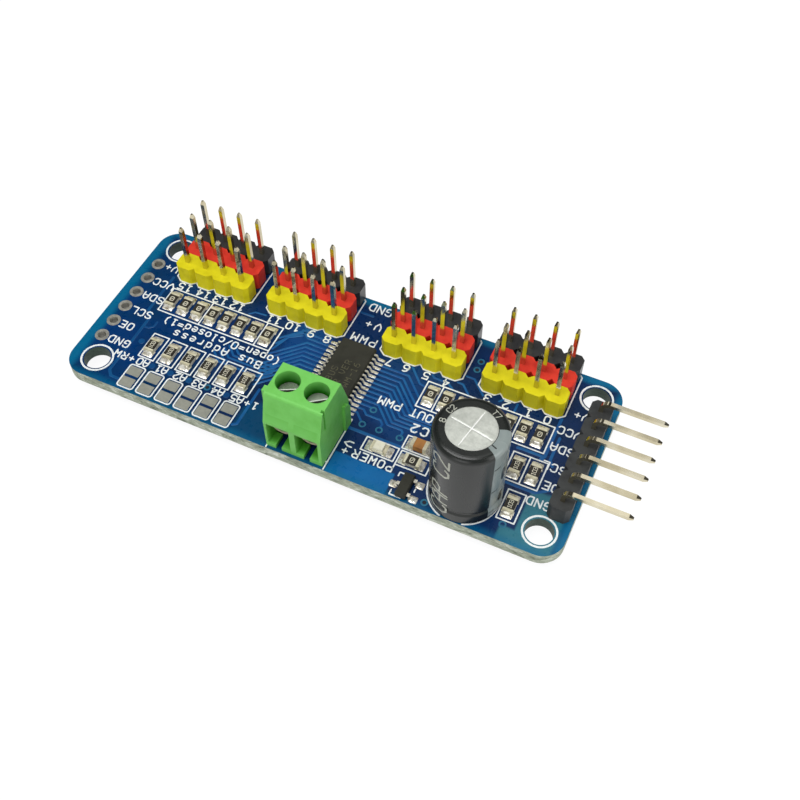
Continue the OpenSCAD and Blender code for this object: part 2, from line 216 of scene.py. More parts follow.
def terminal_material(name):
    """Green nylon, with painted shade: a darker, deeper green inside the screw recesses, growing below the rim, and
    inside the wire entries.
    """
    m = plastic(name, (117, 200, 95), (107, 190, 83), 0.42, 0.2, 0.15)
    x, y, z = m.xyz()
    # painted shade: darker green inside the two screw recesses, stronger further below the rim
    inside = None
    for sx in (-0.002, 0.0015):
        dx = m.math("SUBTRACT", x, sx)
        dy = m.math("SUBTRACT", y, -0.0086)
        d = m.math("SQRT", m.math("ADD", m.math("MULTIPLY", dx, dx), m.math("MULTIPLY", dy, dy)))
        w = m.mapr(d, 0.00142, 0.00150, 1.0, 0.0)
        inside = w if inside is None else m.math("MAXIMUM", inside, w)
    recess_depth_shade = m.mapr(z, 0.0102, 0.0088, 0.25, 1.0)
    # painted shade: darker green inside the wire entries
    entry = None
    for sx in (-0.002, 0.0015):
        side = m.mapr(m.math("ABSOLUTE", m.math("SUBTRACT", x, sx)), 0.00141, 0.00145, 1.0, 0.0)
        entry = side if entry is None else m.math("MAXIMUM", entry, side)
    entry = m.math("MULTIPLY", entry, m.mapr(y, -0.0119, -0.0112, 0.0, 1.0))
    entry = m.math("MULTIPLY", entry, m.mapr(y, -0.0066, -0.0065, 1.0, 0.0))
    entry = m.math("MULTIPLY", entry, m.mapr(z, 0.00746, 0.0075, 1.0, 0.0))
    col = m.b.inputs["Base Color"].links[0].from_socket
    col = m.mix(m.math("MULTIPLY", entry, 0.7), col, (66, 160, 16))
    m.base(m.mix(m.math("MULTIPLY", m.math("MULTIPLY", inside, recess_depth_shade), 0.95), col, (34, 136, 8)))
    return m


def pin_material(name):
    """Square drawn wire, tinned: smooth faces with slow changes of tone along them."""
    m = Mat(name, (208, 199, 172), 0.15, 1.0)
    n = m.noise(0.35, 2, 0.5)
    m.base(m.ramp(n, [(0.30, (184, 174, 144)), (0.5, (207, 198, 170)), (0.75, (222, 216, 194))]))
    m.roughness(m.mapr(m.noise(0.6, 1), 0.3, 0.7, 0.10, 0.2))
    m.bump(m.noise(0.9, 1), 0.05, 0.03)
    return m


def mask_material(name):
    """Blue solder mask over the board, tinted by what copper lies under it, with a painted sheen over the right-front
    pour.
    """
    m = Mat(name, (4, 48, 108), 0.30, 0.0, 0.22)
    x, y, z = m.xyz()
    wob = m.math("MULTIPLY", m.math("SUBTRACT", m.noise(0.35, 2), 0.5), 0.0006)
    xw, yw = m.math("ADD", x, wob), m.math("ADD", y, wob)

    def step(v, a, b):
        return m.mapr(v, a, b, 0.0, 1.0, "SMOOTHSTEP")

    def both(*v):
        out = v[0]
        for w in v[1:]:
            out = m.math("MULTIPLY", out, w)
        return out

    ax = m.math("ABSOLUTE", xw)
    edge = m.math("MAXIMUM", step(ax, 0.0294, 0.0306), m.math("MAXIMUM", step(yw, 0.0110, 0.0119),
                  m.math("MULTIPLY", step(m.math("MULTIPLY", yw, -1.0), 0.0112, 0.0123), 0.55)))
    side = step(x, -0.026, -0.008)
    clean = m.ramp(m.noise(0.16, 3, 0.6), [(0.35, (0, 48, 84)), (0.6, (0, 51, 106)), (1.0, (0, 51, 106))])
    busy = m.ramp(m.noise(0.16, 3, 0.6), [(0.35, (5, 38, 76)), (0.62, (3, 43, 92)), (1.0, (3, 43, 92))])
    col = m.mix(side, clean, busy)
    # brighter field of bare copper under the mask beside the chip
    left_field = both(step(x, -0.0096, -0.0080), step(m.math("MULTIPLY", x, -1.0), 0.0034, 0.0040), step(y, -0.0030, -0.0010))
    col = m.mix(m.math("MULTIPLY", left_field, 0.7), col, (8, 70, 134))
    right_field = both(step(x, 0.0034, 0.0040), step(m.math("MULTIPLY", x, -1.0), -0.0125, -0.0105),
                       step(m.math("SUBTRACT", y, m.math("MULTIPLY", x, -0.62)), -0.0012, 0.0002))
    col = m.mix(m.math("MULTIPLY", right_field, 0.45), col, (10, 66, 122))
    # front pours; the right-hand one is lightened to grey-teal as a painted sheen over its copper
    front = step(m.math("MULTIPLY", yw, -1.0), 0.0093, 0.0096)
    p1 = both(step(x, 0.0036, 0.0038), step(m.math("MULTIPLY", x, -1.0), -0.0111, -0.0109), front)
    col = m.mix(p1, col, m.ramp(m.noise(0.3, 3), [(0.3, (2, 92, 156)), (0.7, (10, 104, 164))]))
    diag = m.math("ADD", y, m.math("MULTIPLY", x, -0.45))
    neg = m.math("MULTIPLY", yw, -1.0)
    # painted sheen: lighter grey-teal over the right-front copper pour, for the lamps' reflection on the mask
    pour_and_sheen = m.math("MAXIMUM", both(step(x, 0.0253, 0.0256), step(neg, 0.0046, 0.0052)), both(step(x, 0.0236, 0.0240), step(neg, 0.0103, 0.0107)))
    pour_and_sheen = both(pour_and_sheen, step(m.math("MULTIPLY", x, -1.0), -0.0303, -0.0297))
    col = m.mix(pour_and_sheen, col, m.ramp(m.noise(0.3, 3), [(0.3, (40, 108, 126)), (0.7, (50, 116, 132))]))
    p3 = both(step(m.math("MULTIPLY", x, -1.0), 0.0036, 0.0040), step(x, -0.0088, -0.0084), step(m.math("MULTIPLY", diag, -1.0), 0.0035, 0.0046))
    col = m.mix(m.math("MULTIPLY", p3, 0.9), col, (2, 68, 106))
    fine = m.ramp(m.noise(1.3, 2, 0.5), [(0.3, (168, 176, 186)), (0.7, (255, 255, 255))])
    n = m.nt.nodes.new("ShaderNodeMix")
    n.data_type, n.blend_type = "RGBA", "MULTIPLY"
    n.inputs["Factor"].default_value = 0.12
    m.link(col, n.inputs[6])
    m.link(fine, n.inputs[7])
    m.base(m.mix(edge, n.outputs[2], (2, 98, 138)))
    m.roughness(m.mapr(m.noise(1.2, 3), 0.3, 0.7, 0.24, 0.36))
    m.bump(m.noise(0.8, 2, 0.5), 0.06, 0.03)
    return m


MASK = mask_material("solder_mask")
TRACE = Mat("mask_over_trace", (20, 88, 146), 0.30, 0.0, 0.26)
TRACE.base(TRACE.ramp(TRACE.noise(0.5, 3), [(0.3, (12, 76, 140)), (0.7, (26, 98, 152))]))
TRACE.bump(TRACE.noise(2.0, 3), 0.08, 0.03)
FAINT = Mat("mask_over_rail", (10, 70, 124), 0.30, 0.0, 0.3)
FAINT.base(FAINT.ramp(FAINT.noise(0.5, 3), [(0.3, (6, 62, 116)), (0.7, (14, 80, 130))]))
FAINT.bump(FAINT.noise(2.0, 3), 0.08, 0.03)

# side of the board: glass laminate, seen as fine layers
EDGE = Mat("laminate_edge", (176, 182, 166), 0.7, 0.0, 0.3)
_v = EDGE.scaled(0.35, 0.35, 2.2)
_w = EDGE.scaled(0.8, 0.8, 1.7)
_n = EDGE.math("ADD", EDGE.math("MULTIPLY", EDGE.noise(3.2, 4, 0.7, vec=_v), 0.35), EDGE.math("MULTIPLY", EDGE.noise(0.85, 4, 0.75, vec=_w, dist=0.6), 0.65))
EDGE.base(EDGE.ramp(_n, [(0.36, (82, 94, 76)), (0.44, (150, 158, 138)), (0.53, (182, 190, 170)), (0.62, (226, 231, 218))]))
EDGE.bump(_n, 0.7, 0.12)

# painted shade: the mounting-hole walls are a dark green, far darker than the same laminate at the board's side, for
# the shade inside the holes
SHADED_HOLE_WALL = Mat("drilled_wall_painted_shade", (38, 62, 50), 0.55, 0.0, 0.4)
SHADED_HOLE_WALL.base(SHADED_HOLE_WALL.ramp(SHADED_HOLE_WALL.noise(2.0, 3, vec=SHADED_HOLE_WALL.scaled(1, 1, 3)), [(0.3, (26, 48, 40)), (0.7, (58, 82, 66))]))
SHADED_HOLE_WALL.bump(SHADED_HOLE_WALL.noise(5.0, 3, vec=SHADED_HOLE_WALL.scaled(1, 1, 3)), 0.4, 0.03)

PLATED = metal("plated_pad", (166, 164, 154), (132, 130, 120), 0.38, scale=2.0, share=0.3)
PADS = Mat("bare_pad", (150, 151, 140), 0.5, 0.15, 0.4)
PADS.base(PADS.ramp(PADS.noise(1.6, 4, 0.65), [(0.25, (138, 140, 130)), (0.55, (150, 151, 140)), (0.85, (162, 162, 150))]))
PADS.bump(PADS.noise(3.0, 3), 0.25, 0.03)

SILK = Mat("white_legend", (236, 240, 238), 0.55, 0.0, 0.2)
SILK.base(SILK.ramp(SILK.noise(2.4, 4, 0.65), [(0.25, (196, 208, 214)), (0.5, (236, 240, 238)), (1.0, (246, 248, 246))]))
SILK.bump(SILK.noise(5.0, 2), 0.2, 0.02)

MATS = {
    "strip_yellow": plastic("moulded_yellow", (226, 214, 24), (208, 196, 10), 0.46, 0.2, 0.4),
    "strip_red": plastic("moulded_red", (224, 60, 42), (200, 42, 30), 0.44, 0.22, 0.4),
    "strip_black": plastic("moulded_black", (46, 46, 46), (34, 34, 36), 0.34, 0.5, 0.3),
    "strip_black_matt": plastic("moulded_black_matt", (56, 58, 58), (40, 41, 42), 0.6, 0.35),
    "pin_metal": pin_material("tinned_pin"),
    "terminal_green": terminal_material("moulded_green"),
    "screw_steel": metal("zinc_screw", (190, 192, 184), (158, 160, 150), 0.3, (1, 1, 1), 0.5, 0.03, 0.75),
    "cage_steel": metal("tarnished_cage", (176, 164, 140), (112, 96, 78), 0.34, (1, 1, 1), 2.0, 0.3, 0.7),
    "contact_brass": metal("tinned_contact", (172, 168, 150), (120, 112, 92), 0.34, share=0.8),
    "can_aluminium": metal("aluminium", (226, 226, 222), (206, 206, 202), 0.36, (1, 1, 1), 1.0, 0.1, 0.5),
    "bung_rubber": plastic("rubber", (32, 32, 32), (22, 22, 22), 0.75),
    "winding_paper": plastic("wound_foil", (150, 128, 92), (120, 98, 66), 0.8),
    "lead_metal": metal("tinned_lead", (232, 228, 212), (190, 184, 162), 0.26, share=0.5),
    "chip_black": plastic("moulded_package", (52, 52, 44), (42, 42, 35), 0.62, 0.22, 0.5),
    "led_cream": plastic("led_lens", (236, 232, 212), (214, 210, 186), 0.3),
    "ceramic_brown": plastic("ceramic_body", (166, 112, 50), (120, 74, 30), 0.5),
    "end_caps": metal("plated_ends", (216, 210, 182), (176, 168, 138), 0.32, scale=1.6, share=0.35),
    "resistor_coat": plastic("resistor_glaze", (46, 42, 34), (34, 31, 25), 0.38, 0.35),
    "sleeve_black": sleeve_material("shrunk_sleeve", (27, 31, 28), (22, 25, 23)),
}
ALUMINA = Mat("fired_alumina", (206, 202, 188), 0.6, 0.0, 0.3)
ALUMINA.base(ALUMINA.ramp(ALUMINA.noise(3.0, 3), [(0.3, (150, 146, 130)), (0.5, (206, 202, 188)), (0.8, (220, 216, 204))]))
ALUMINA.bump(ALUMINA.noise(5.0, 2), 0.3, 0.03)

for name, ob in nodes.items():
    ob.data.materials.clear()
    if name != "pcb":
        ob.data.materials.append(MATS[slot_of[name]].m)
        if slot_of[name] == "resistor_coat":     # the glaze is on top, over a white ceramic chip
            ob.data.materials.append(ALUMINA.m)
            ob.data.polygons.foreach_set("material_index", [0 if p.normal.z > 0.7 else 1 for p in ob.data.polygons])
            ob.data.update()
        continue
    for m in (MASK, EDGE, SHADED_HOLE_WALL, PLATED):
        ob.data.materials.append(m.m)
    holes = [(sx * 27.94, sy * 9.525) for sx in (-1, 1) for sy in (-1, 1)]
    index = []
    plated = [(gx + k * PITCH, y) for gx in GROUP_X for k in range(4) for y in ROW_Y]
    plated += [(x, y) for x in (-29.4, 29.1) for y in CTRL_Y]
    plated += [(-2.0, -6.85), (1.5, -6.85), (CAP[0] - 1.75, CAP[1]), (CAP[0] + 1.75, CAP[1])]
    for p in ob.data.polygons:
        c = p.center / MM
        if abs(p.normal.z) > 0.7:
            index.append(0)
        elif min(math.hypot(c.x - hx, c.y - hy) for hx, hy in holes) < 1.8:
            index.append(2)
        elif min(math.hypot(c.x - hx, c.y - hy) for hx, hy in plated) < 0.72:
            index.append(3)
        else:
            index.append(1)
    ob.data.polygons.foreach_set("material_index", index)
    ob.data.update()


# ---------------------------------------------------------------- mesh making
class Part:
    """Gathers faces, in millimetres, and makes one piece of them."""

    def __init__(self):
        self.v, self.f, self.mi = [], [], []
        self.lift = 0.0

    def add(self, verts, faces, mi=0):
        k = len(self.v)
        self.v += [tuple(p) for p in verts]
        self.f += [tuple(k + i for i in f) for f in faces]
        self.mi += [mi] * len(faces)

    def prism(self, outline, z0, z1, mi=0, grow=0.0, floor=True):
        """A flat plate with the given outline, counter-clockwise; grow widens its foot."""
        n = len(outline)
        low = outline if not grow else grown(outline, grow)
        v = [(x, y, z1) for x, y in outline] + [(x, y, z0) for x, y in low]
        f = [tuple(range(n))]
        f += [(i, n + i, n + (i + 1) % n, (i + 1) % n) for i in range(n)]
        if floor:
            f.append(tuple(range(2 * n - 1, n - 1, -1)))
        self.add(v, f, mi)

    def stroke(self, pts, w, z0, z1, closed=False, mi=0, bevel=0.0, steps=3):
        """A line of width w through pts, with round corners and ends."""
        top, tris, loops = stroke2d(pts, w, closed, steps)
        low = top if not bevel else stroke2d(pts, w + 2 * bevel, closed, steps)[0]
        n = len(top)
        v = [(x, y, z1 + self.lift) for x, y in top] + [(x, y, z0) for x, y in low]
        f = list(tris) + [tuple(n + i for i in reversed(t)) for t in tris]
        for loop in loops:
            m = len(loop)
            f += [(loop[i], n + loop[i], n + loop[(i + 1) % m], loop[(i + 1) % m]) for i in range(m)]
        self.add(v, f, mi)

    def ring(self, cx, cy, r0, r1, z0, z1, seg=40, mi=0, bevel=0.0):
        v, f = [], []
        prof = [(r1 + bevel, z0), (r1, z1), (r0, z1), (r0 - bevel if r0 > bevel else r0, z0)]
        if r0 <= 0:
            prof = [(r1 + bevel, z0), (r1, z1)]
        for i in range(seg):
            a = 2 * math.pi * i / seg
            for r, z in prof:
                v.append((cx + r * math.cos(a), cy + r * math.sin(a), z))
        k = len(prof)
        for i in range(seg):
            j = (i + 1) % seg
            for q in range(k - 1):
                f.append((i * k + q, j * k + q, j * k + q + 1, i * k + q + 1))
            if r0 > 0:
                f.append((i * k + k - 1, j * k + k - 1, j * k, i * k))
        if r0 <= 0:
            f.append(tuple(i * k + 1 for i in range(seg)))
            f.append(tuple(i * k for i in reversed(range(seg))))
        self.add(v, f, mi)

    def make(self, name, mats, body="board", smooth=False, slot=None):
        me = bpy.data.meshes.new(name)
        me.from_pydata([(x * MM, y * MM, z * MM) for x, y, z in self.v], [], self.f)
        for m in mats:
            me.materials.append(m.m)
        me.polygons.foreach_set("material_index", self.mi)
        if smooth:
            me.polygons.foreach_set("use_smooth", [True] * len(me.polygons))
        me.validate()
        me.update()
        ob = bpy.data.objects.new(name, me)
        scene.collection.objects.link(ob)
        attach(ob, body)
        return ob


def grown(outline, d):
    out, n = [], len(outline)
    for i in range(n):
        a, b, c = (Vector(outline[(i + k) % n]) for k in (-1, 0, 1))
        u, v = (b - a).normalized(), (c - b).normalized()
        nu, nv = Vector((u.y, -u.x)), Vector((v.y, -v.x))
        m = (nu + nv).normalized()
        out.append(tuple(b + m * d / max(m.dot(nu), 0.4)))
    return out


def stroke2d(pts, w, closed, steps):
    """Points, top faces and edge loops of a stroked line in the plane."""
    P = [Vector(p) for p in pts]
    h, n = w / 2, len(P)
    V, F = [], []

    def put(p):
        V.append((p.x, p.y))
        return len(V) - 1

    def left(d):
        return Vector((-d.y, d.x))

    entry, exit_, lchain, rchain = [], [], [], []
    for i in range(n):
        a = (P[i] - P[i - 1]).normalized() if (closed or i > 0) else None
        b = (P[(i + 1) % n] - P[i]).normalized() if (closed or i < n - 1) else None
        if a is None or b is None:
            d = a or b
            l, r = put(P[i] + left(d) * h), put(P[i] - left(d) * h)
            entry.append((l, r))
            exit_.append((l, r))
            lchain.append([l])
            rchain.append([r])
            continue
        cross, dot = a.x * b.y - a.y * b.x, a.dot(b)
        m = left(a) + left(b)
        m = m.normalized() if m.length > 1e-6 else a
        la, lb = (P[i] - P[i - 1]).length, (P[(i + 1) % n] - P[i]).length
        k = min(h / max(m.dot(left(a)), 0.05), max(h, min(la, lb)))
        if abs(cross) < 1e-4 and dot > 0:
            l, r = put(P[i] + left(a) * h), put(P[i] - left(a) * h)
            entry.append((l, r))
            exit_.append((l, r))
            lchain.append([l])
            rchain.append([r])
            continue
        s = 1 if cross > 0 else -1      # 1: turns left, so the inner side is the left
        inner = put(P[i] + m * k * s)
        turn = math.atan2(cross, dot)
        arc = []
        for q in range(steps + 1):
            t = turn * q / steps
            d = Vector((a.x * math.cos(t) - a.y * math.sin(t), a.x * math.sin(t) + a.y * math.cos(t)))
            arc.append(put(P[i] - left(d) * h * s))
        for q in range(steps):
            F.append((inner, arc[q], arc[q + 1]) if s > 0 else (inner, arc[q + 1], arc[q]))
        if s > 0:
            entry.append((inner, arc[0]))
            exit_.append((inner, arc[-1]))
            lchain.append([inner])
            rchain.append(arc)
        else:
            entry.append((arc[0], inner))
            exit_.append((arc[-1], inner))
            lchain.append(arc)
            rchain.append([inner])
    last = n if closed else n - 1
    for i in range(last):
        l0, r0 = exit_[i]
        l1, r1 = entry[(i + 1) % n]
        F.append((r0, r1, l1, l0))
    L = [q for c in lchain for q in c]
    R = [q for c in rchain for q in c]
    if closed:
        return V, F, [L[::-1], R]
    caps = []
    for i, d, pair in ((0, (P[0] - P[1]).normalized(), (L[0], R[0])), (n - 1, (P[-1] - P[-2]).normalized(), (R[-1], L[-1]))):
        start, end = pair
        s0 = Vector(V[start]) - P[i]
        arc = []
        for q in range(1, 2 * steps):
            t = math.pi * q / (2 * steps)
            arc.append(put(P[i] + s0 * math.cos(t) + d * h * math.sin(t)))
        F.append((start, *arc, end))
        caps.append(arc)
    loop = R + caps[1] + L[::-1] + caps[0]
    return V, F, [loop]


def rrect(x0, y0, x1, y1, r=0.0, seg=4):
    """A rectangle's corners, counter-clockwise, rounded by r."""
    if r <= 0:
        return [(x0, y0), (x1, y0), (x1, y1), (x0, y1)]
    out = []
    for cx, cy, a0 in ((x1 - r, y0 + r, -90), (x1 - r, y1 - r, 0), (x0 + r, y1 - r, 90), (x0 + r, y0 + r, 180)):
        for i in range(seg + 1):
            a = math.radians(a0 + 90 * i / seg)
            out.append((cx + r * math.cos(a), cy + r * math.sin(a)))
    return out


# ---------------------------------------------------------------- lettering
# Single-stroke letters, one unit tall and W wide.
W = 0.66
GLYPH = {
    "0": [[(0.16, 0), (0.5, 0), (W, 0.2), (W, 0.8), (0.5, 1), (0.16, 1), (0, 0.8), (0, 0.2), "c"]],
    "1": [[(0.1, 0.8), (0.33, 1), (0.33, 0)], [(0.12, 0), (0.54, 0)]],
    "2": [[(0, 0.82), (0.16, 1), (0.5, 1), (W, 0.82), (W, 0.62), (0, 0.0), (W, 0)]],
    "3": [[(0, 0.85), (0.16, 1), (0.5, 1), (W, 0.84), (W, 0.66), (0.5, 0.52), (0.25, 0.52)], [(0.5, 0.52), (W, 0.36), (W, 0.16), (0.5, 0), (0.16, 0), (0, 0.15)]],
    "4": [[(0.5, 0), (0.5, 1), (0, 0.34), (W, 0.34)]],
    "5": [[(W, 1), (0.06, 1), (0.04, 0.58), (0.48, 0.6), (W, 0.44), (W, 0.16), (0.5, 0), (0.16, 0), (0, 0.14)]],
    "6": [[(0.6, 0.95), (0.4, 1), (0.16, 0.86), (0, 0.5), (0, 0.18), (0.16, 0), (0.5, 0), (W, 0.18), (W, 0.4), (0.5, 0.56), (0.16, 0.56), (0.02, 0.4)]],
    "7": [[(0, 1), (W, 1), (0.22, 0)]],
    "8": [[(0.18, 0.53), (0.02, 0.7), (0.02, 0.85), (0.18, 1), (0.48, 1), (0.64, 0.85), (0.64, 0.7), (0.48, 0.53), "c"], [(0.48, 0.53), (W, 0.38), (W, 0.16), (0.5, 0), (0.16, 0), (0, 0.16), (0, 0.38), (0.18, 0.53)]],
    "9": [[(0.06, 0.05), (0.26, 0), (0.5, 0.14), (W, 0.5), (W, 0.82), (0.5, 1), (0.16, 1), (0, 0.82), (0, 0.6), (0.16, 0.44), (0.5, 0.44), (0.64, 0.6)]],
    "A": [[(0, 0), (0, 0.62), (0.16, 0.9), (0.33, 1), (0.5, 0.9), (W, 0.62), (W, 0)], [(0, 0.4), (W, 0.4)]],
    "B": [[(0, 0), (0, 1), (0.48, 1), (0.62, 0.86), (0.62, 0.68), (0.48, 0.54), (0, 0.54)], [(0.48, 0.54), (W, 0.38), (W, 0.16), (0.5, 0), (0, 0)]],
    "C": [[(W, 0.82), (0.5, 1), (0.16, 1), (0, 0.82), (0, 0.18), (0.16, 0), (0.5, 0), (W, 0.18)]],
    "D": [[(0, 0), (0, 1), (0.42, 1), (W, 0.76), (W, 0.24), (0.42, 0), "c"]],
    "E": [[(W, 1), (0, 1), (0, 0), (W, 0)], [(0, 0.53), (0.48, 0.53)]],
    "G": [[(W, 0.84), (0.5, 1), (0.16, 1), (0, 0.82), (0, 0.18), (0.16, 0), (0.5, 0), (W, 0.18), (W, 0.46), (0.36, 0.46)]],
    "L": [[(0, 1), (0, 0), (W, 0)]],
    "M": [[(0, 0), (0, 1), (0.33, 0.45), (W, 1), (W, 0)]],
    "N": [[(0, 0), (0, 1), (W, 0), (W, 1)]],
    "O": [[(0.16, 0), (0.5, 0), (W, 0.2), (W, 0.8), (0.5, 1), (0.16, 1), (0, 0.8), (0, 0.2), "c"]],
    "P": [[(0, 0), (0, 1), (0.48, 1), (W, 0.84), (W, 0.6), (0.48, 0.44), (0, 0.44)]],
    "R": [[(0, 0), (0, 1), (0.48, 1), (W, 0.86), (W, 0.64), (0.48, 0.5), (0, 0.5)], [(0.34, 0.5), (W, 0)]],
    "S": [[(W, 0.85), (0.5, 1), (0.16, 1), (0, 0.86), (0, 0.68), (0.16, 0.54), (0.5, 0.48), (W, 0.34), (W, 0.15), (0.5, 0), (0.16, 0), (0, 0.15)]],
    "T": [[(0, 1), (W, 1)], [(0.33, 1), (0.33, 0)]],
    "U": [[(0, 1), (0, 0.2), (0.16, 0), (0.5, 0), (W, 0.2), (W, 1)]],
    "V": [[(0, 1), (0, 0.5), (0.33, 0), (W, 0.5), (W, 1)]],
    "W": [[(0, 1), (0, 0), (0.33, 0.55), (W, 0), (W, 1)]],
    "+": [[(0.02, 0.5), (0.62, 0.5)], [(0.32, 0.8), (0.32, 0.2)]],
    "=": [[(0.03, 0.64), (0.62, 0.64)], [(0.03, 0.36), (0.62, 0.36)]],
    "(": [[(0.46, 1.08), (0.2, 0.78), (0.2, 0.22), (0.46, -0.08)]],
    ")": [[(0.2, 1.08), (0.46, 0.78), (0.46, 0.22), (0.2, -0.08)]],
    "/": [[(0.02, 0), (0.64, 1)]],
    "-": [[(0.05, 0.5), (0.6, 0.5)]],
    "a": [[(0.56, 0.56), (0.44, 0.68), (0.16, 0.68), (0.02, 0.52), (0.02, 0.16), (0.16, 0), (0.42, 0), (0.56, 0.14)], [(0.58, 0.68), (0.58, 0)]],
    "b": [[(0.02, 1), (0.02, 0), (0.44, 0), (0.6, 0.16), (0.6, 0.5), (0.44, 0.68), (0.02, 0.68)]],
    "c": [[(0.58, 0.56), (0.44, 0.68), (0.18, 0.68), (0.02, 0.52), (0.02, 0.16), (0.18, 0), (0.44, 0), (0.58, 0.12)]],
    "d": [[(0.6, 1), (0.6, 0), (0.18, 0), (0.02, 0.16), (0.02, 0.5), (0.18, 0.68), (0.6, 0.68)]],
    "e": [[(0.04, 0.36), (0.6, 0.36), (0.58, 0.54), (0.44, 0.68), (0.18, 0.68), (0.02, 0.52), (0.02, 0.16), (0.18, 0), (0.54, 0)]],
    "l": [[(0.2, 1), (0.33, 1), (0.33, 0)], [(0.18, 0), (0.48, 0)]],
    "n": [[(0.04, 0), (0.04, 0.68), (0.42, 0.68), (0.58, 0.54), (0.58, 0)]],
    "o": [[(0.18, 0), (0.44, 0), (0.6, 0.16), (0.6, 0.52), (0.44, 0.68), (0.18, 0.68), (0.02, 0.52), (0.02, 0.16), "c"]],
    "p": [[(0.02, -0.32), (0.02, 0.68), (0.44, 0.68), (0.6, 0.52), (0.6, 0.16), (0.44, 0), (0.02, 0)]],
    "r": [[(0.1, 0), (0.1, 0.68)], [(0.1, 0.46), (0.3, 0.68), (0.56, 0.66)]],
    "s": [[(0.56, 0.62), (0.42, 0.68), (0.16, 0.68), (0.04, 0.56), (0.14, 0.38), (0.46, 0.3), (0.58, 0.16), (0.44, 0), (0.16, 0), (0.02, 0.08)]],
    "u": [[(0.04, 0.68), (0.04, 0.14), (0.18, 0), (0.58, 0)], [(0.58, 0.68), (0.58, 0)]],
}


def letters(part, text, cx, cy, size, pitch, w, z0, z1, angle=180.0, mi=0, steps=2):
    """text with its first letter's middle at (cx, cy), running along angle. size is the height between stroke middles."""
    ca, sa = math.cos(math.radians(angle)), math.sin(math.radians(angle))
    for i, ch in enumerate(text):
        for line in GLYPH.get(ch, []):
            closed = line[-1] == "c"
            pts = []
            for gx, gy in (line[:-1] if closed else line):
                lx, ly = (gx - 0.33) * size + i * pitch, (gy - 0.5) * size
                pts.append((cx + lx * ca - ly * sa, cy + lx * sa + ly * ca))
            part.stroke(pts, w, z0, z1, closed, mi, 0.0, steps)
            part.lift = (part.lift + 0.0004) % 0.004


# ---------------------------------------------------------------- legend
SZ0, SZ1 = TOP - 0.004, TOP + 0.026
silk = Part()
LW = 0.165


def box_line(x0, y0, x1, y1, r=0.0, w=LW):
    silk.stroke(rrect(x0, y0, x1, y1, r, 3), w, SZ0, SZ1, True, steps=2)
    silk.lift = (silk.lift + 0.0004) % 0.004


def line(*pts, w=LW):
    silk.stroke(pts, w, SZ0, SZ1, False, steps=2)
    silk.lift = (silk.lift + 0.0004) % 0.004


# mounting holes
for sx in (-1, 1):
    for sy in (-1, 1):
        silk.ring(sx * 27.94, sy * 9.525, 1.76, 1.99, SZ0, SZ1, 64)
# resistor arrays
box_line(-25.42, -0.14, -9.96, 3.66)
line((-19.72, -0.14), (-19.72, 3.66))
line((-12.06, -0.14), (-12.06, 3.66))
box_line(9.25, -0.1, 24.92, 3.75)
line((11.22, -0.1), (11.22, 3.75))
line((20.86, -0.1), (20.86, 3.75))
# address resistors and jumpers
for i in range(6):
    x = -22.68 + 2.545 * i
    box_line(x - 1.03, -7.22, x + 1.03, -3.52)
    box_line(x - 1.03, -11.93, x + 1.03, -8.62, 0.3)
# power light, its resistor, the ceramic capacitor
box_line(6.1, -8.1, 10.06, -6.25)
box_line(10.42, -8.28, 14.12, -6.3)
box_line(10.24, -6.0, 13.95, -4.16)
# bus resistors
box_line(21.82, -4.95, 25.92, -1.15)
line((23.82, -4.95), (23.82, -1.15))
box_line(23.06, -9.84, 25.12, -5.98)
# transistor corners
line((11.9, -9.0), (11.42, -9.0), (11.42, -9.5))
line((11.45, -11.4), (11.45, -12.0), (12.75, -12.0))
line((13.85, -10.3), (13.85, -10.7))
# screw terminal and can capacitor
line((-3.67, -12.22), (-3.67, -4.9), (3.5, -4.9), (3.5, -12.22))
line((3.44, -11.2), (3.24, -11.2))
silk.stroke([(18.78 + 4.07 * math.cos(math.radians(-71 + 3.22 * i)), -8.33 + 4.07 * math.sin(math.radians(-71 + 3.22 * i))) for i in range(101)], 0.18, SZ0, SZ1, False, steps=2)
# servo headers: a scalloped outline with cut corners
for gx in GROUP_X:
    x0, x1 = gx - 1.27 - 0.26, gx + 3 * PITCH + 1.27 + 0.26
    y0, y1 = 5.08, 12.12
    pts = [(x0, 5.7)]
    for k in range(4):
        px = gx + k * PITCH
        pts += [(px - 0.66 if k else px - 0.75, y0), (px + 0.66 if k < 3 else px + 0.8, y0)]
        if k < 3:
            pts.append((px + PITCH / 2, 5.62))
    pts += [(x1, 5.72), (x1, y1 - 0.4), (x1 - 0.4, y1), (x0 + 0.4, y1), (x0, y1 - 0.4)]
    silk.stroke(pts, 0.17, SZ0, SZ1, True, steps=2)

TW = 0.175
# rows of labels by the two control columns
for lab, y in (("V+", 6.45), ("VCC", 3.72), ("SDA", 1.22), ("SCL", -1.4), ("OE", -3.88), ("GND", -6.36)):
    n = len(lab)
    letters(silk, lab, -27.97 + 1.03 * (n - 1), y, 1.0, 1.03, TW, SZ0, SZ1)
    letters(silk, lab, 27.66, y, 1.0, 1.0, TW, SZ0, SZ1)
# channel numbers
for t, x in (("15", -23.78), ("14", -21.15), ("13", -18.72), ("12", -16.3), ("11", -11.22), ("10", -8.55), ("9", -6.53), ("8", -4.4),
             ("7", 3.88), ("6", 6.06), ("5", 8.66), ("4", 11.16), ("3", 16.4), ("2", 18.72), ("1", 21.42), ("0", 23.76)):
    letters(silk, t, x, 4.36, 1.0, 1.0, TW, SZ0, SZ1)
# rows between the middle groups
letters(silk, "GND", 0.62, 11.25, 1.08, 1.08, TW, SZ0, SZ1)
letters(silk, "V+", 0.42, 8.66, 1.08, 1.3, TW, SZ0, SZ1)
letters(silk, "PWM", 0.86, 6.16, 1.08, 1.2, TW, SZ0, SZ1)
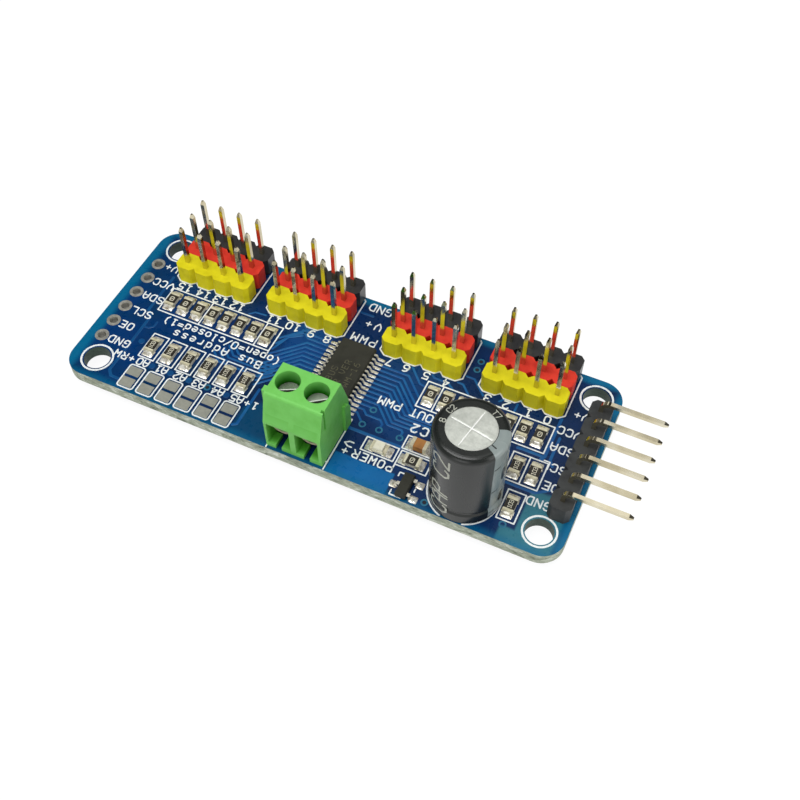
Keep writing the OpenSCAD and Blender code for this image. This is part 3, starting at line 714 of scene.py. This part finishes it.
# outputs
letters(silk, "PWM", 7.5, -1.05, 1.02, 1.02, TW, SZ0, SZ1)
letters(silk, "OUT", 11.46, -1.08, 1.02, 0.98, TW, SZ0, SZ1)
letters(silk, "C2", 11.72, -3.02, 1.08, 1.2, 0.2, SZ0, SZ1)
letters(silk, "POWER", 10.1, -8.92, 0.98, 1.04, TW, SZ0, SZ1)
letters(silk, "V+", 4.6, -8.0, 0.98, 1.02, TW, SZ0, SZ1, angle=-90.0)
# address lines
letters(silk, "Bus Address", -10.1, -2.5, 1.0, 1.13, TW, SZ0, SZ1)
letters(silk, "(open=0/closed=1)", -8.35, -1.1, 0.98, 0.945, TW, SZ0, SZ1)
for i in range(6):
    letters(silk, "A" + str(i), -22.18 + 2.545 * i, -7.92, 0.92, 0.84, TW, SZ0, SZ1)
letters(silk, "1", -7.5, -7.92, 0.92, 1.0, TW, SZ0, SZ1)
letters(silk, "+", -8.5, -7.92, 0.92, 1.0, TW, SZ0, SZ1)
letters(silk, "+RW", -24.15, -7.95, 0.92, 0.96, TW, SZ0, SZ1)
silk_ob = silk.make("legend", [SILK])

# ---------------------------------------------------------------- copper under the mask
copper = Part()
TZ0, TZ1 = TOP - 0.004, TOP + 0.014


def trace(*pts, w=0.19):
    copper.stroke(pts, w, TZ0, TZ1, False, bevel=0.05, steps=2)
    copper.lift = (copper.lift + 0.0003) % 0.003


# leads of the chip's left side out to the left array, 0.65 mm apart
for k in range(10):
    y = 4.22 - 0.65 * k
    bend = -6.35 + 0.12 * (k - 2)
    if k < 2:
        trace((-3.6, y), (bend - 0.1, y), (bend - 1.2, y + 0.9))
    else:
        run = min(bend + 9.7, 3.6)
        trace((-3.6, y), (bend, y), (bend - run, y - run))
# further runs beside that bundle
for k in range(3):
    d = 0.62 * k
    trace((-7.0 - d * 0.3, 4.9 - d), (-7.9 - d * 0.7, 4.0 - d), (-9.7, 2.2 - d * 1.5))
for k in range(5):
    d = 0.5 * k
    trace((-8.0, -1.5 - d * 0.9), (-8.5 - 0.1 * k, -2.0 - d), (-13.0 - 0.4 * k, -2.0 - d), (-14.2 - 0.4 * k, -0.9 - d))
# right side of the chip: bundle towards the right array and the outputs
RIGHT = [
    [(3.1, 3.5), (6.8, 3.5), (9.2, 1.1)],
    [(3.1, 2.85), (6.4, 2.85), (9.2, 0.05)],
    [(3.1, 2.2), (6.25, 2.2), (9.5, -1.0), (12.6, -1.0)],
    [(3.1, 1.5), (6.15, 1.5), (9.1, -1.4), (12.6, -1.4)],
    [(3.1, 0.85), (6.0, 0.85), (8.7, -1.8), (13.5, -1.8)],
    [(3.1, 0.22), (5.85, 0.22), (8.3, -2.25), (13.5, -2.25)],
    [(3.1, -0.45), (5.6, -0.45), (7.95, -2.8), (10.6, -2.8)],
    [(3.1, -1.1), (5.5, -1.1), (7.75, -3.35), (10.6, -3.35)],
    [(3.1, -1.78), (5.35, -1.78), (7.45, -3.85), (9.2, -3.85), (9.46, -4.1), (9.46, -4.6)],
    [(3.1, -2.42), (4.7, -2.42)],
    [(3.1, -3.05), (4.1, -3.05), (4.65, -3.6), (6.45, -3.6), (6.9, -4.05), (6.9, -4.5)],
    [(3.1, -3.7), (3.6, -3.75), (4.5, -4.62)],
]
for r in RIGHT:
    trace(*r)
trace((6.7, 4.85), (8.45, 3.0), (9.2, 2.85))
trace((9.3, 4.8), (9.6, 4.5), (11.4, 4.45), (12.2, 3.9))
trace((12.4, 5.05), (13.1, 5.0), (14.2, 3.9))
trace((13.0, 6.3), (14.0, 6.3), (15.8, 4.5))
trace((18.2, 5.0), (17.8, 4.5))
trace((19.9, 5.0), (19.9, 3.8))
# left margin
trace((-8.15, -5.6), (-8.15, -10.9), (-8.6, -11.2), w=0.26)
# between the left groups
trace((-12.9, 4.62), (-14.3, 4.5), (-14.9, 3.95), w=0.15)
# strip of copper in front of the chip's right-hand leads
trace((3.6, -6.0), (10.2, -6.0), w=0.34)
# near the control header
trace((25.2, 5.2), (25.2, -0.4), (24.9, -0.9), w=0.3)
trace((25.9, 2.6), (25.9, -0.6), (26.4, -1.3), w=0.26)
trace((22.0, -0.55), (22.5, -0.5), (24.9, -0.5), (25.1, -0.9), w=0.28)
trace((22.2, -5.3), (25.8, -5.3), (27.2, -4.3), w=0.26)
copper.make("traces", [TRACE])
rails = Part()
rails.stroke([(-26.45, 5.2), (-26.45, -0.6), (-25.62, -1.5), (-25.62, -10.4), (-25.0, -11.1), (-23.9, -11.12)], 0.3, TZ0, TZ1, bevel=0.05, steps=2)
rails.stroke([(-0.9, 9.95), (-3.0, 9.95)], 0.26, TZ0, TZ1, bevel=0.05, steps=2)
rails.stroke([(-25.4, -3.1), (-24.9, -3.1), (-24.4, -2.6), (-24.4, -1.9)], 0.2, TZ0, TZ1, bevel=0.05, steps=2)
rails.make("supply_rails", [FAINT])

# ---------------------------------------------------------------- pads and vias
VIA = Mat("mask_over_via", (38, 108, 136), 0.32, 0.0, 0.3)
VIA.base(VIA.ramp(VIA.noise(1.4, 3), [(0.3, (26, 96, 130)), (0.7, (54, 122, 146))]))
# painted shade: a near-black disc over each open via stands for the shade down its hole
VIA_HOLE_SHADE = Mat("open_via_painted_shade", (8, 12, 16), 0.5)
VIA_HOLE_SHADE.base(VIA_HOLE_SHADE.ramp(VIA_HOLE_SHADE.noise(3.0, 2), [(0.3, (4, 8, 12)), (0.8, (16, 22, 28))]))
vias = Part()
for x, y, kind in ((5.13, -2.67, 0), (4.82, -4.96, 0), (6.9, -4.91, 0), (9.46, -4.92, 0), (24.03, -10.35, 0),
                   (15.38, -11.4, 1), (13.75, 8.99, 1), (13.76, 7.68, 1), (-13.82, -7.87, 1)):
    vias.ring(x, y, 0.27, 0.42, TZ0, TOP + 0.022, 28, 0, 0.03)
    vias.ring(x, y, 0.0, 0.2, TOP - 0.004, TOP + 0.004, 20, 1 if kind else 2)
for x, y in ((-24.5, -5.2), (-21.35, -7.9), (-18.82, -7.9), (-16.3, -7.9), (-11.25, -7.9)):
    vias.ring(x, y, 0.0, 0.36, TZ0, TOP + 0.02, 24, 3, 0.05)
vias.make("vias", [VIA, VIA_HOLE_SHADE, MASK, FAINT])

pads = Part()
for i in range(6):
    x = -22.78 + 2.56 * i
    for y0, y1 in ((-10.06, -8.84), (-11.76, -10.46)):
        pads.prism(rrect(x - 0.83, y0, x + 0.83, y1, 0.07, 2), TZ0, TOP + 0.02, 0, 0.02)
pads.make("jumper_pads", [PADS])

rings = Part()
for y in CTRL_Y:
    rings.ring(-29.4, y, 0.52, 0.85, TZ0, TOP + 0.03, 40, 0, 0.02)
rings.make("bare_hole_rings", [PLATED])


# ---------------------------------------------------------------- solder
SOLDER = Mat("solder", (226, 224, 212), 0.24, 0.5, 0.5)
_s = SOLDER.noise(1.7, 3, 0.6, dist=0.5)
SOLDER.base(SOLDER.ramp(_s, [(0.30, (118, 100, 78)), (0.42, (196, 190, 172)), (0.55, (236, 234, 224)), (1.0, (244, 243, 236))]))
SOLDER.roughness(SOLDER.mapr(SOLDER.noise(1.8, 3), 0.3, 0.7, 0.16, 0.36))
SOLDER.bump(SOLDER.noise(1.8, 3, 0.6), 0.35, 0.08)
solder = Part()


def wave(k):
    """A fixed, uneven number from -1 to 1 for each k."""
    return math.sin(k * 12.9898 + 4.1414) * math.cos(k * 7.233 + 1.7)


def fillet(x, y, dx, dy, width, run, height, seed, n=6, m=8):
    """Solder rising from the board to a part's end at (x, y); (dx, dy) points away from the part."""
    v, f = [], []
    for i in range(n + 1):
        s = i / n
        half = width / 2 * (0.97 + 0.06 * math.sin(s * 3))
        for j in range(m + 1):
            t = -1 + 2 * j / m
            g = 1.0 if abs(t) < 0.62 else math.cos((abs(t) - 0.62) / 0.38 * math.pi / 2) ** 1.2
            rough = 0.035 * wave(seed + i * 1.7 + j * 0.9) * (4 * s * (1 - s)) * (1 if 0 < j < m else 0)
            out = s * run * (1.0 if 0 < j < m else 0.97)
            z = TOP + 0.012 + (height * (1 - s) ** 1.55 + rough) * g
            if i == n or j in (0, m):
                z = TOP + 0.004
            px, py = -dy * t * half, dx * t * half
            v.append((x + dx * out + px, y + dy * out + py, z))
    k = m + 1
    for i in range(n):
        for j in range(m):
            f.append((i * k + j, (i + 1) * k + j, (i + 1) * k + j + 1, i * k + j + 1))
    v2 = [(a, b, TOP - 0.004) for a, b, _ in v[:k]]
    base = len(v)
    f += [(j + 1, base + j + 1, base + j, j) for j in range(m)]
    solder.add(v + v2, f)


def chip_part(x, y, along_x, height, seed, run=0.58, width=1.34):
    """Solder at both ends of a 2.0 mm long chip part, and the pad strips beside its ends."""
    for s in (-1, 1):
        if along_x:
            fillet(x + s * 0.97, y, s, 0, width, run, height, seed + s)
        else:
            fillet(x, y + s * 0.97, 0, s, width, run, height, seed + s)
        for q in (-1, 1):
            if along_x:
                solder.prism(rrect(x + s * 0.78 - 0.24, y + q * 0.66 - 0.06, x + s * 0.78 + 0.24, y + q * 0.66 + 0.06, 0.03, 2), TOP - 0.004, TOP + 0.07, 0, 0.02)
            else:
                solder.prism(rrect(x + q * 0.66 - 0.06, y + s * 0.78 - 0.24, x + q * 0.66 + 0.06, y + s * 0.78 + 0.24, 0.03, 2), TOP - 0.004, TOP + 0.07, 0, 0.02)


LEFT_X = [-24.45 + 1.905 * i for i in range(8)]
RIGHT_X = [10.3 + 1.917 * i for i in range(8)]
ADR_X = [-22.8 + 2.52 * i for i in range(6)]
BUS = [(22.8, -3.05), (24.88, -3.0), (23.98, -7.95)]
for i, x in enumerate(LEFT_X):
    chip_part(x, 1.78, False, 0.42, 10 + i * 3.1)
for i, x in enumerate(RIGHT_X):
    chip_part(x, 1.85, False, 0.42, 50 + i * 3.1)
for i, x in enumerate(ADR_X):
    chip_part(x, -5.42, False, 0.42, 90 + i * 3.1)
for i, (x, y) in enumerate(BUS):
    chip_part(x, y, False, 0.42, 130 + i * 3.1)
chip_part(12.1, -7.32, True, 0.42, 151)
chip_part(8.05, -7.2, True, 0.36, 161, 0.66)
chip_part(12.05, -5.15, True, 0.62, 171, 0.6, 1.5)

# the chip's and the transistor's pads
for s in (-1, 1):
    for k in range(14):
        y = (k - 6.5) * 0.65
        x = -0.2 + s * 3.2
        solder.prism(rrect(min(x - s * 0.5, x + s * 0.36), y - 0.17, max(x - s * 0.5, x + s * 0.36), y + 0.17, 0.05, 2), TOP - 0.004, TOP + 0.03, 0, 0.02)
        fillet(x - s * 0.02, y, s, 0, 0.30, 0.3, 0.13, 200 + k * 2.3 + s, 4, 6)
for dx, dy in ((-1, 0.0), (1, -0.95), (1, 0.95)):
    x, y = 12.75 + dx * 1.35, -10.65 + dy
    solder.prism(rrect(min(x - dx * 0.4, x + dx * 0.5), y - 0.42, max(x - dx * 0.4, x + dx * 0.5), y + 0.42, 0.1, 2), TOP - 0.004, TOP + 0.03, 0, 0.03)
    fillet(x - dx * 0.03, y, dx, 0, 0.7, 0.48, 0.16, 260 + dy + dx, 5, 8)
solder.make("solder_joints", [SOLDER], smooth=True)

# screw slots: raised lips along both edges, coloured near white as a painted glint, and a floor painted dark as the
# shade in the slot
# painted glint: the lips are near-white, almost without metal, to stand for the bright edges of the slot
LIP_GLINT = metal("lip_painted_glint", (252, 252, 248), (240, 240, 234), 0.4, (1, 1, 1), 0.8, 0.05, 0.05)
# painted shade: a dark plate at the bottom of each slot, where the same metal lies in shade
SLOT_SHADE = Mat("slot_floor_painted_shade", (44, 46, 40), 0.5, 0.3)
SLOT_SHADE.base(SLOT_SHADE.ramp(SLOT_SHADE.noise(1.6, 3), [(0.3, (30, 32, 28)), (0.7, (58, 60, 52))]))
ZS = TOP + 6.3 + 0.6
for side, sx, turn in (("left", -2.0, 27.0), ("right", 1.5, 36.0)):
    lips = Part()
    ux, uy = math.cos(math.radians(turn)), math.sin(math.radians(turn))
    for q in (-1, 1):
        off = 0.19 + 0.06
        reach = math.sqrt(1.25 ** 2 - (off + 0.05) ** 2) - 0.03
        cx, cy = sx - uy * off * q, -8.6 + ux * off * q
        lips.stroke([(cx - ux * reach, cy - uy * reach), (cx + ux * reach, cy + uy * reach)], 0.12, ZS - 0.004, ZS + 0.026, steps=2)
    lips.make("slot_lips_" + side, [LIP_GLINT], body="screw_" + side)
    trough = Part()
    reach = math.sqrt(1.25 ** 2 - 0.19 ** 2) - 0.01
    quad = [(sx + a * ux * reach - b * uy * 0.188, -8.6 + a * uy * reach + b * ux * 0.188) for a, b in ((-1, -1), (1, -1), (1, 1), (-1, 1))]
    trough.prism(quad, ZS - 0.385, ZS - 0.37)
    trough.make("slot_floor_painted_shade_" + side, [SLOT_SHADE], body="screw_" + side)

# light glaze bars where the resistor coat meets its ends, and value codes
CODE = Mat("print_on_parts", (228, 224, 202), 0.5, 0.0, 0.3)
CODE.base(CODE.ramp(CODE.noise(3.0, 3), [(0.3, (206, 202, 178)), (0.7, (236, 232, 212))]))
CODE.bump(CODE.noise(5.0, 2), 0.2, 0.02)
BAR = Mat("resistor_bar", (226, 220, 190), 0.42, 0.15, 0.5)
BAR.base(BAR.ramp(BAR.noise(2.0, 3), [(0.3, (198, 190, 154)), (0.7, (232, 228, 204))]))
BAR.bump(BAR.noise(4.0, 2), 0.2, 0.02)
codes, bars = Part(), Part()
ZR = TOP + 0.5


def marked(x, y, text, along_x=False):
    """Bars and a value code on top of one chip resistor."""
    for s in (-1, 1):
        if along_x:
            bars.prism(rrect(x + s * 0.72 - 0.10, y - 0.58, x + s * 0.72 + 0.10, y + 0.58, 0.03, 2), ZR + 0.02, ZR + 0.058, 0, 0.01)
        else:
            bars.prism(rrect(x - 0.58, y + s * 0.72 - 0.10, x + 0.58, y + s * 0.72 + 0.10, 0.03, 2), ZR + 0.02, ZR + 0.058, 0, 0.01)
    if text == "0":
        codes.stroke(rrect(x - 0.23, y - 0.3, x + 0.23, y + 0.3, 0.13, 3), 0.085, ZR - 0.004, ZR + 0.012, True, steps=1)
        codes.stroke([(x - 0.12, y - 0.16), (x + 0.12, y + 0.16)], 0.075, ZR - 0.004, ZR + 0.014, steps=1)
    else:
        n = len(text)
        ang = 90.0 if not along_x else 0.0
        px, py = (x, y - (n - 1) * 0.18) if not along_x else (x - (n - 1) * 0.18, y)
        letters(codes, text, px, py, 0.46, 0.36, 0.066, ZR - 0.004, ZR + 0.012, ang, 0, 1)


for x in LEFT_X:
    marked(x, 1.78, "0")
for x in RIGHT_X:
    marked(x, 1.85, "0")
for x in ADR_X:
    marked(x, -5.42, "103")
for x, y in BUS:
    marked(x, y, "103")
marked(12.1, -7.32, "0", True)
codes.make("value_codes", [CODE])
bars.make("resistor_bars", [BAR])

# faint letters on the driver chip
INK = Mat("chip_print", (92, 89, 66), 0.6, 0.0, 0.3)
INK.base(INK.ramp(INK.noise(3.0, 3), [(0.35, (68, 67, 53)), (0.7, (98, 95, 71))]))
INK.bump(INK.noise(5.0, 2), 0.2, 0.02)
ink = Part()
ZC = TOP + 1.1
letters(ink, "PWM-16", 0.95, -2.3, 0.72, 0.78, 0.085, ZC - 0.004, ZC + 0.008, 90.0, 0, 1)
letters(ink, "DRIVER", -0.15, -2.3, 0.72, 0.78, 0.085, ZC - 0.004, ZC + 0.008, 90.0, 0, 1)
letters(ink, "BUS", -1.2, -1.4, 0.72, 0.78, 0.085, ZC - 0.004, ZC + 0.008, 90.0, 0, 1)
ink.make("chip_print", [INK])

# ---------------------------------------------------------------- can capacitor
CAN_R = 4.05                       # over the sleeve
CAN_TOP = TOP + 12.35
STRIPE = sleeve_material("sleeve_stripe", (136, 146, 144), (112, 124, 126))
MARK = Mat("sleeve_mark", (30, 34, 34), 0.28, 0.0, 0.5)
MARK.base(MARK.ramp(MARK.noise(1.5, 3), [(0.3, (22, 26, 27)), (0.7, (36, 41, 40))]))
PRINT = Mat("sleeve_print", (186, 188, 174), 0.34, 0.0, 0.5)
PRINT.base(PRINT.ramp(PRINT.noise(1.2, 3), [(0.3, (160, 162, 150)), (0.7, (194, 196, 182))]))
PRINT.bump(PRINT.noise(1.0, 2), 0.08, 0.02)


def skin(off):
    """(radius, height) down the sleeve from the rim's inner edge to the foot."""
    out = [(2.76, 12.35 + off), (3.35, 12.35 + off)]
    for a in range(90, -1, -10):
        out.append((3.35 + (0.7 + off) * math.cos(math.radians(a)), 11.65 + (0.7 + off) * math.sin(math.radians(a))))
    out += [(4.05 + off, z) for z in (9.0, 6.5, 4.0, 2.4)]
    out += [(3.93 + off, 2.05), (3.93 + off, 1.85), (4.05 + off, 1.5), (4.05 + off, 0.45)]
    return out


def patch(part, a0, a1, prof, mi=0, n=24):
    """A skin between two bearings round the can."""
    v, f = [], []
    for i in range(n + 1):
        a = math.radians(a0 + (a1 - a0) * i / n)
        for r, z in prof:
            v.append((CAP[0] + r * math.cos(a), CAP[1] + r * math.sin(a), TOP + z))
    k = len(prof)
    for i in range(n):
        for j in range(k - 1):
            f.append((i * k + j, i * k + j + 1, (i + 1) * k + j + 1, (i + 1) * k + j))
    part.add(v, f, mi)


stripe = Part()
patch(stripe, -32, 21, skin(0.010), 0, 30)
stripe.make("sleeve_stripe", [STRIPE], smooth=True)


def wrapped(flat, a0, r):
    """Wraps flat strokes round the can: x runs with the bearing from a0, y is the height and z stands off the wall."""
    out = Part()
    for x, y, z in flat.v:
        a = math.radians(a0) + x / r
        out.v.append((CAP[0] + (r + z) * math.cos(a), CAP[1] + (r + z) * math.sin(a), TOP + y))
    out.f, out.mi = flat.f, flat.mi
    return out


def fine(pts, step=0.3):
    out = [pts[0]]
    for a, b in zip(pts, pts[1:]):
        n = max(1, math.ceil(math.hypot(b[0] - a[0], b[1] - a[1]) / step))
        out += [(a[0] + (b[0] - a[0]) * i / n, a[1] + (b[1] - a[1]) * i / n) for i in range(1, n + 1)]
    return out


wall = Part()
for i, ch in enumerate("CAP C2"):
    for stroke in GLYPH.get(ch, []):
        closed = stroke[-1] == "c"
        g = list(stroke[:-1]) + [stroke[0]] if closed else list(stroke)
        pts = [(-1.82 - (gy - 0.5) * 2.3, 1.75 + 1.72 * i + (gx - 0.33) * 1.95) for gx, gy in g]
        wall.stroke(fine(pts), 0.25, 0.004, 0.016, steps=2)
        wall.lift = (wall.lift + 0.0008) % 0.004
wrapped(wall, -90, CAN_R).make("sleeve_print", [PRINT])
marks = Part()
for z, h in ((3.1, 0.95), (7.5, 1.05)):
    ring = [(0.42 * math.cos(t * math.pi / 8), z + h * math.sin(t * math.pi / 8)) for t in range(16)]
    for half in range(-3, 4):
        x = half * 0.11
        span = h * math.sqrt(max(0.0, 1 - (x / 0.42) ** 2))
        marks.stroke(fine([(x, z - span * 0.96), (x, z + span * 0.96)], 0.4), 0.125, 0.012, 0.022 + 0.0006 * (half + 3), steps=1)
for z in (1.2, 5.3, 9.6):
    marks.stroke(fine([(-1.55, z), (-0.85, z)]), 0.16, 0.012, 0.024, steps=2)
wrapped(marks, -8, CAN_R).make("sleeve_marks", [MARK])

rim = Part()
for text, bearing, size in (("C2", 160, 0.62), ("8", 186, 0.62), ("T7", 62, 0.62), ("5", 140, 0.0)):
    if not size:
        continue
    a = math.radians(bearing)
    letters(rim, text, CAP[0] + 3.05 * math.cos(a), CAP[1] + 3.05 * math.sin(a), size, 0.55, 0.09, CAN_TOP - 0.004, CAN_TOP + 0.012, bearing - 90.0, 0, 2)
rim.stroke([(CAP[0] + r * math.cos(math.radians(-22)), CAP[1] + r * math.sin(math.radians(-22))) for r in (2.85, 3.35)], 0.14, CAN_TOP, CAN_TOP + 0.024, mi=1)
rim.make("rim_print", [PRINT, MARK])

# end face of the can: four slightly sloped quarters, parted by a scored cross whose lines are coloured near white as a
# painted highlight
DISC = Mat("scored_face", (202, 205, 196), 0.42, 0.3, 0.5)
DISC.base(DISC.ramp(DISC.noise(1.4, 4, 0.7), [(0.3, (180, 184, 175)), (0.6, (206, 209, 200)), (0.9, (222, 224, 217))]))
DISC.roughness(DISC.mapr(DISC.noise(2.5, 3), 0.3, 0.7, 0.34, 0.5))
DISC.bump(DISC.noise(2.2, 3, 0.7, vec=DISC.scaled(1.0, 0.5, 1.0)), 0.3, 0.04)
# painted highlight: the score lines are near white, brighter than the face round them
SCORE_HIGHLIGHT = Mat("scored_line_painted_highlight", (250, 251, 248), 0.5, 0.0, 0.5)
SCORE_HIGHLIGHT.base(SCORE_HIGHLIGHT.ramp(SCORE_HIGHLIGHT.noise(1.8, 3), [(0.3, (236, 238, 232)), (0.7, (252, 253, 250))]))
SCORE_HIGHLIGHT.bump(SCORE_HIGHLIGHT.noise(2.0, 2), 0.2, 0.02)
disc = Part()
NR, NA, RD = 30, 288, 2.69
v, f, score = [], [], []
for i in range(NR + 1):
    r = 0.04 + (RD - 0.04) * i / NR
    for j in range(NA):
        a = 2 * math.pi * j / NA
        q = (a - math.radians(-11)) % (math.pi / 2)
        away = r * min(math.sin(q), math.sin(math.pi / 2 - q), 1.0)
        groove = max(0.0, 1 - (away / 0.16) ** 2) ** 2 if r < 2.45 else 0.0
        sector = int(((a - math.radians(-11)) % (2 * math.pi)) // (math.pi / 2))
        tilt = (0.03, -0.025, 0.012, -0.03)[sector]
        bulge = 0.05 * (1 - (r / RD) ** 2) + tilt * min(1.0, away / 0.4) * math.sin(q * 2)
        v.append((CAP[0] + r * math.cos(a), CAP[1] + r * math.sin(a), TOP + 12.225 + bulge - 0.035 * groove))
for i in range(NR):
    for j in range(NA):
        k = (j + 1) % NA
        f.append((i * NA + j, (i + 1) * NA + j, (i + 1) * NA + k, i * NA + k))
        r = 0.04 + (RD - 0.04) * (i + 0.5) / NR
        q = (2 * math.pi * (j + 0.5) / NA - math.radians(-11)) % (math.pi / 2)
        score.append(1 if r < 2.4 and r * min(math.sin(q), math.cos(q)) < 0.06 else 0)
f.append(tuple(range(NA)))
disc.add(v, f)
disc.mi = score + [1]
disc.make("can_end_face", [DISC, SCORE_HIGHLIGHT], smooth=True)

# ---------------------------------------------------------------- underside
under = Part()


def cone(x, y, r0, r1, h, pin=0.0, seg=20):
    """A solder cone hanging below the board round a pin."""
    prof = [(r0, 0.004), (r0, -0.03), (r0 * 0.72, -0.10), ((r0 + r1) * 0.38, -0.34 * h), (r1 + 0.03, -0.72 * h), (r1, -h)]
    v, f = [], []
    for i in range(seg):
        a = 2 * math.pi * i / seg
        for r, z in prof:
            v.append((x + r * math.cos(a), y + r * math.sin(a), z))
    k = len(prof)
    for i in range(seg):
        j = (i + 1) % seg
        for q in range(k - 1):
            f.append((i * k + q, i * k + q + 1, j * k + q + 1, j * k + q))
    f.append(tuple(i * k + k - 1 for i in range(seg))[::-1])
    f.append(tuple(i * k for i in range(seg)))
    under.add(v, f)


for gx in GROUP_X:
    for k in range(4):
        for y in ROW_Y:
            cone(gx + k * PITCH, y, 0.85, 0.3, 0.95)
for y in CTRL_Y:
    cone(29.1, y, 0.85, 0.3, 0.95)
for x in (-2.0, 1.5):
    cone(x, -6.85, 1.1, 0.5, 0.95)
for x in (CAP[0] - 1.75, CAP[0] + 1.75):
    cone(x, CAP[1], 0.85, 0.34, 0.95)
under.make("solder_cones", [SOLDER], smooth=True)
under_pads = Part()
for y in CTRL_Y:
    v, f = [], []
    for i in range(40):
        a = 2 * math.pi * i / 40
        for r, z in ((0.52, -0.03), (0.85, -0.03), (0.87, 0.004)):
            v.append((-29.4 + r * math.cos(a), y + r * math.sin(a), z))
    for i in range(40):
        j = (i + 1) % 40
        for q in range(2):
            f.append((i * 3 + q, i * 3 + q + 1, j * 3 + q + 1, j * 3 + q)[::-1])
    under_pads.add(v, f)
under_pads.make("bare_hole_rings_below", [PLATED])

# ---------------------------------------------------------------- stage, lights, camera
FLOOR = Mat("pale_floor", (96, 96, 96), 0.95, 0.0, 0.0)
FLOOR.base(FLOOR.ramp(FLOOR.noise(0.02, 2), [(0.3, (94, 94, 94)), (0.7, (98, 98, 98))]))
FLOOR.b.inputs["Emission Color"].default_value = (1, 1, 1, 1)
FLOOR.b.inputs["Emission Strength"].default_value = 0.93
me = bpy.data.meshes.new("floor")
s, zf = 1.5, (cad_lo.z - 0.0002)
me.from_pydata([(-s, -s, zf), (s, -s, zf), (s, s, zf), (-s, s, zf)], [], [(0, 1, 2, 3)])
me.materials.append(FLOOR.m)
floor = bpy.data.objects.new("floor", me)
floor.visible_diffuse = False
scene.collection.objects.link(floor)

# a dim, even room
world = bpy.data.worlds.new("studio")
scene.world = world
world.use_nodes = True
wn = world.node_tree
bg = wn.nodes["Background"]
tc = wn.nodes.new("ShaderNodeTexCoord")


def facing(direction, a, b, c, d):
    dp = wn.nodes.new("ShaderNodeVectorMath")
    dp.operation = "DOT_PRODUCT"
    dp.inputs[1].default_value = Vector(direction).normalized()
    wn.links.new(tc.outputs["Generated"], dp.inputs[0])
    mr = wn.nodes.new("ShaderNodeMapRange")
    mr.interpolation_type = "SMOOTHSTEP"
    for i, v in zip((1, 2, 3, 4), (a, b, c, d)):
        mr.inputs[i].default_value = v
    wn.links.new(dp.outputs["Value"], mr.inputs[0])
    return mr.outputs[0]


room = facing((0.0, -0.55, -0.75), -0.9, 0.9, 0.24, 0.48)
dim = facing((-0.22, 0.5, 0.84), 0.55, 0.93, 1.0, 0.12)
mul = wn.nodes.new("ShaderNodeMath")
mul.operation = "MULTIPLY"
wn.links.new(room, mul.inputs[0])
wn.links.new(dim, mul.inputs[1])
wn.links.new(mul.outputs[0], bg.inputs["Strength"])
bg.inputs["Color"].default_value = (1, 1, 1, 1)


def area(name, where, aim, size, power, size_y=None):
    l = bpy.data.lights.new(name, "AREA")
    l.energy, l.size = power, size
    if size_y:
        l.shape, l.size_y = "RECTANGLE", size_y
    o = bpy.data.objects.new(name, l)
    scene.collection.objects.link(o)
    o.location = where
    o.rotation_mode = "QUATERNION"
    o.rotation_quaternion = (Vector(where) - Vector(aim)).to_track_quat("Z", "Y")
    return o


centre = (cad_lo + cad_hi) / 2
area("key", (-0.05, -0.07, 0.46), centre, 0.30, 1.5)
area("front", (0.02, -0.40, 0.16), centre, 0.26, 0.38)
area("right", (0.36, -0.03, 0.16), centre, 0.22, 0.55)
area("sheen", (0.03, 0.178, 0.42), (0.03, 0.178, 0.0), 0.24, 0.16, 0.155)
area("pin_sheen", (0.018, 0.285, 0.42), (0.018, 0.285, 0.0), 0.09, 0.03, 0.11)
area("back_left", (-0.19, 0.30, 0.27), centre, 0.10, 0.03)

cam = bpy.data.cameras.new("camera")
camera = bpy.data.objects.new("camera", cam)
scene.collection.objects.link(camera)
right = Vector((0.908932692, 0.416929253, 0.003370266))
down = Vector((0.340664919, -0.737962491, -0.582545083))
ahead = Vector((-0.240392957, 0.530642402, -0.812791404))
m = Matrix.Identity(4)
for i in range(3):
    m[i][0], m[i][1], m[i][2] = right[i], -down[i], -ahead[i]
m.translation = Vector((0.036862514, -0.065331623, 0.101503384))
camera.matrix_world = m
cam.sensor_width = 36.0
cam.lens = 47.862
cam.clip_start, cam.clip_end = 0.002, 10.0
scene.camera = camera

scene.view_settings.view_transform = "Standard"
scene.view_settings.look = "None"
scene.view_settings.exposure = 0.0
scene.view_settings.gamma = 1.0
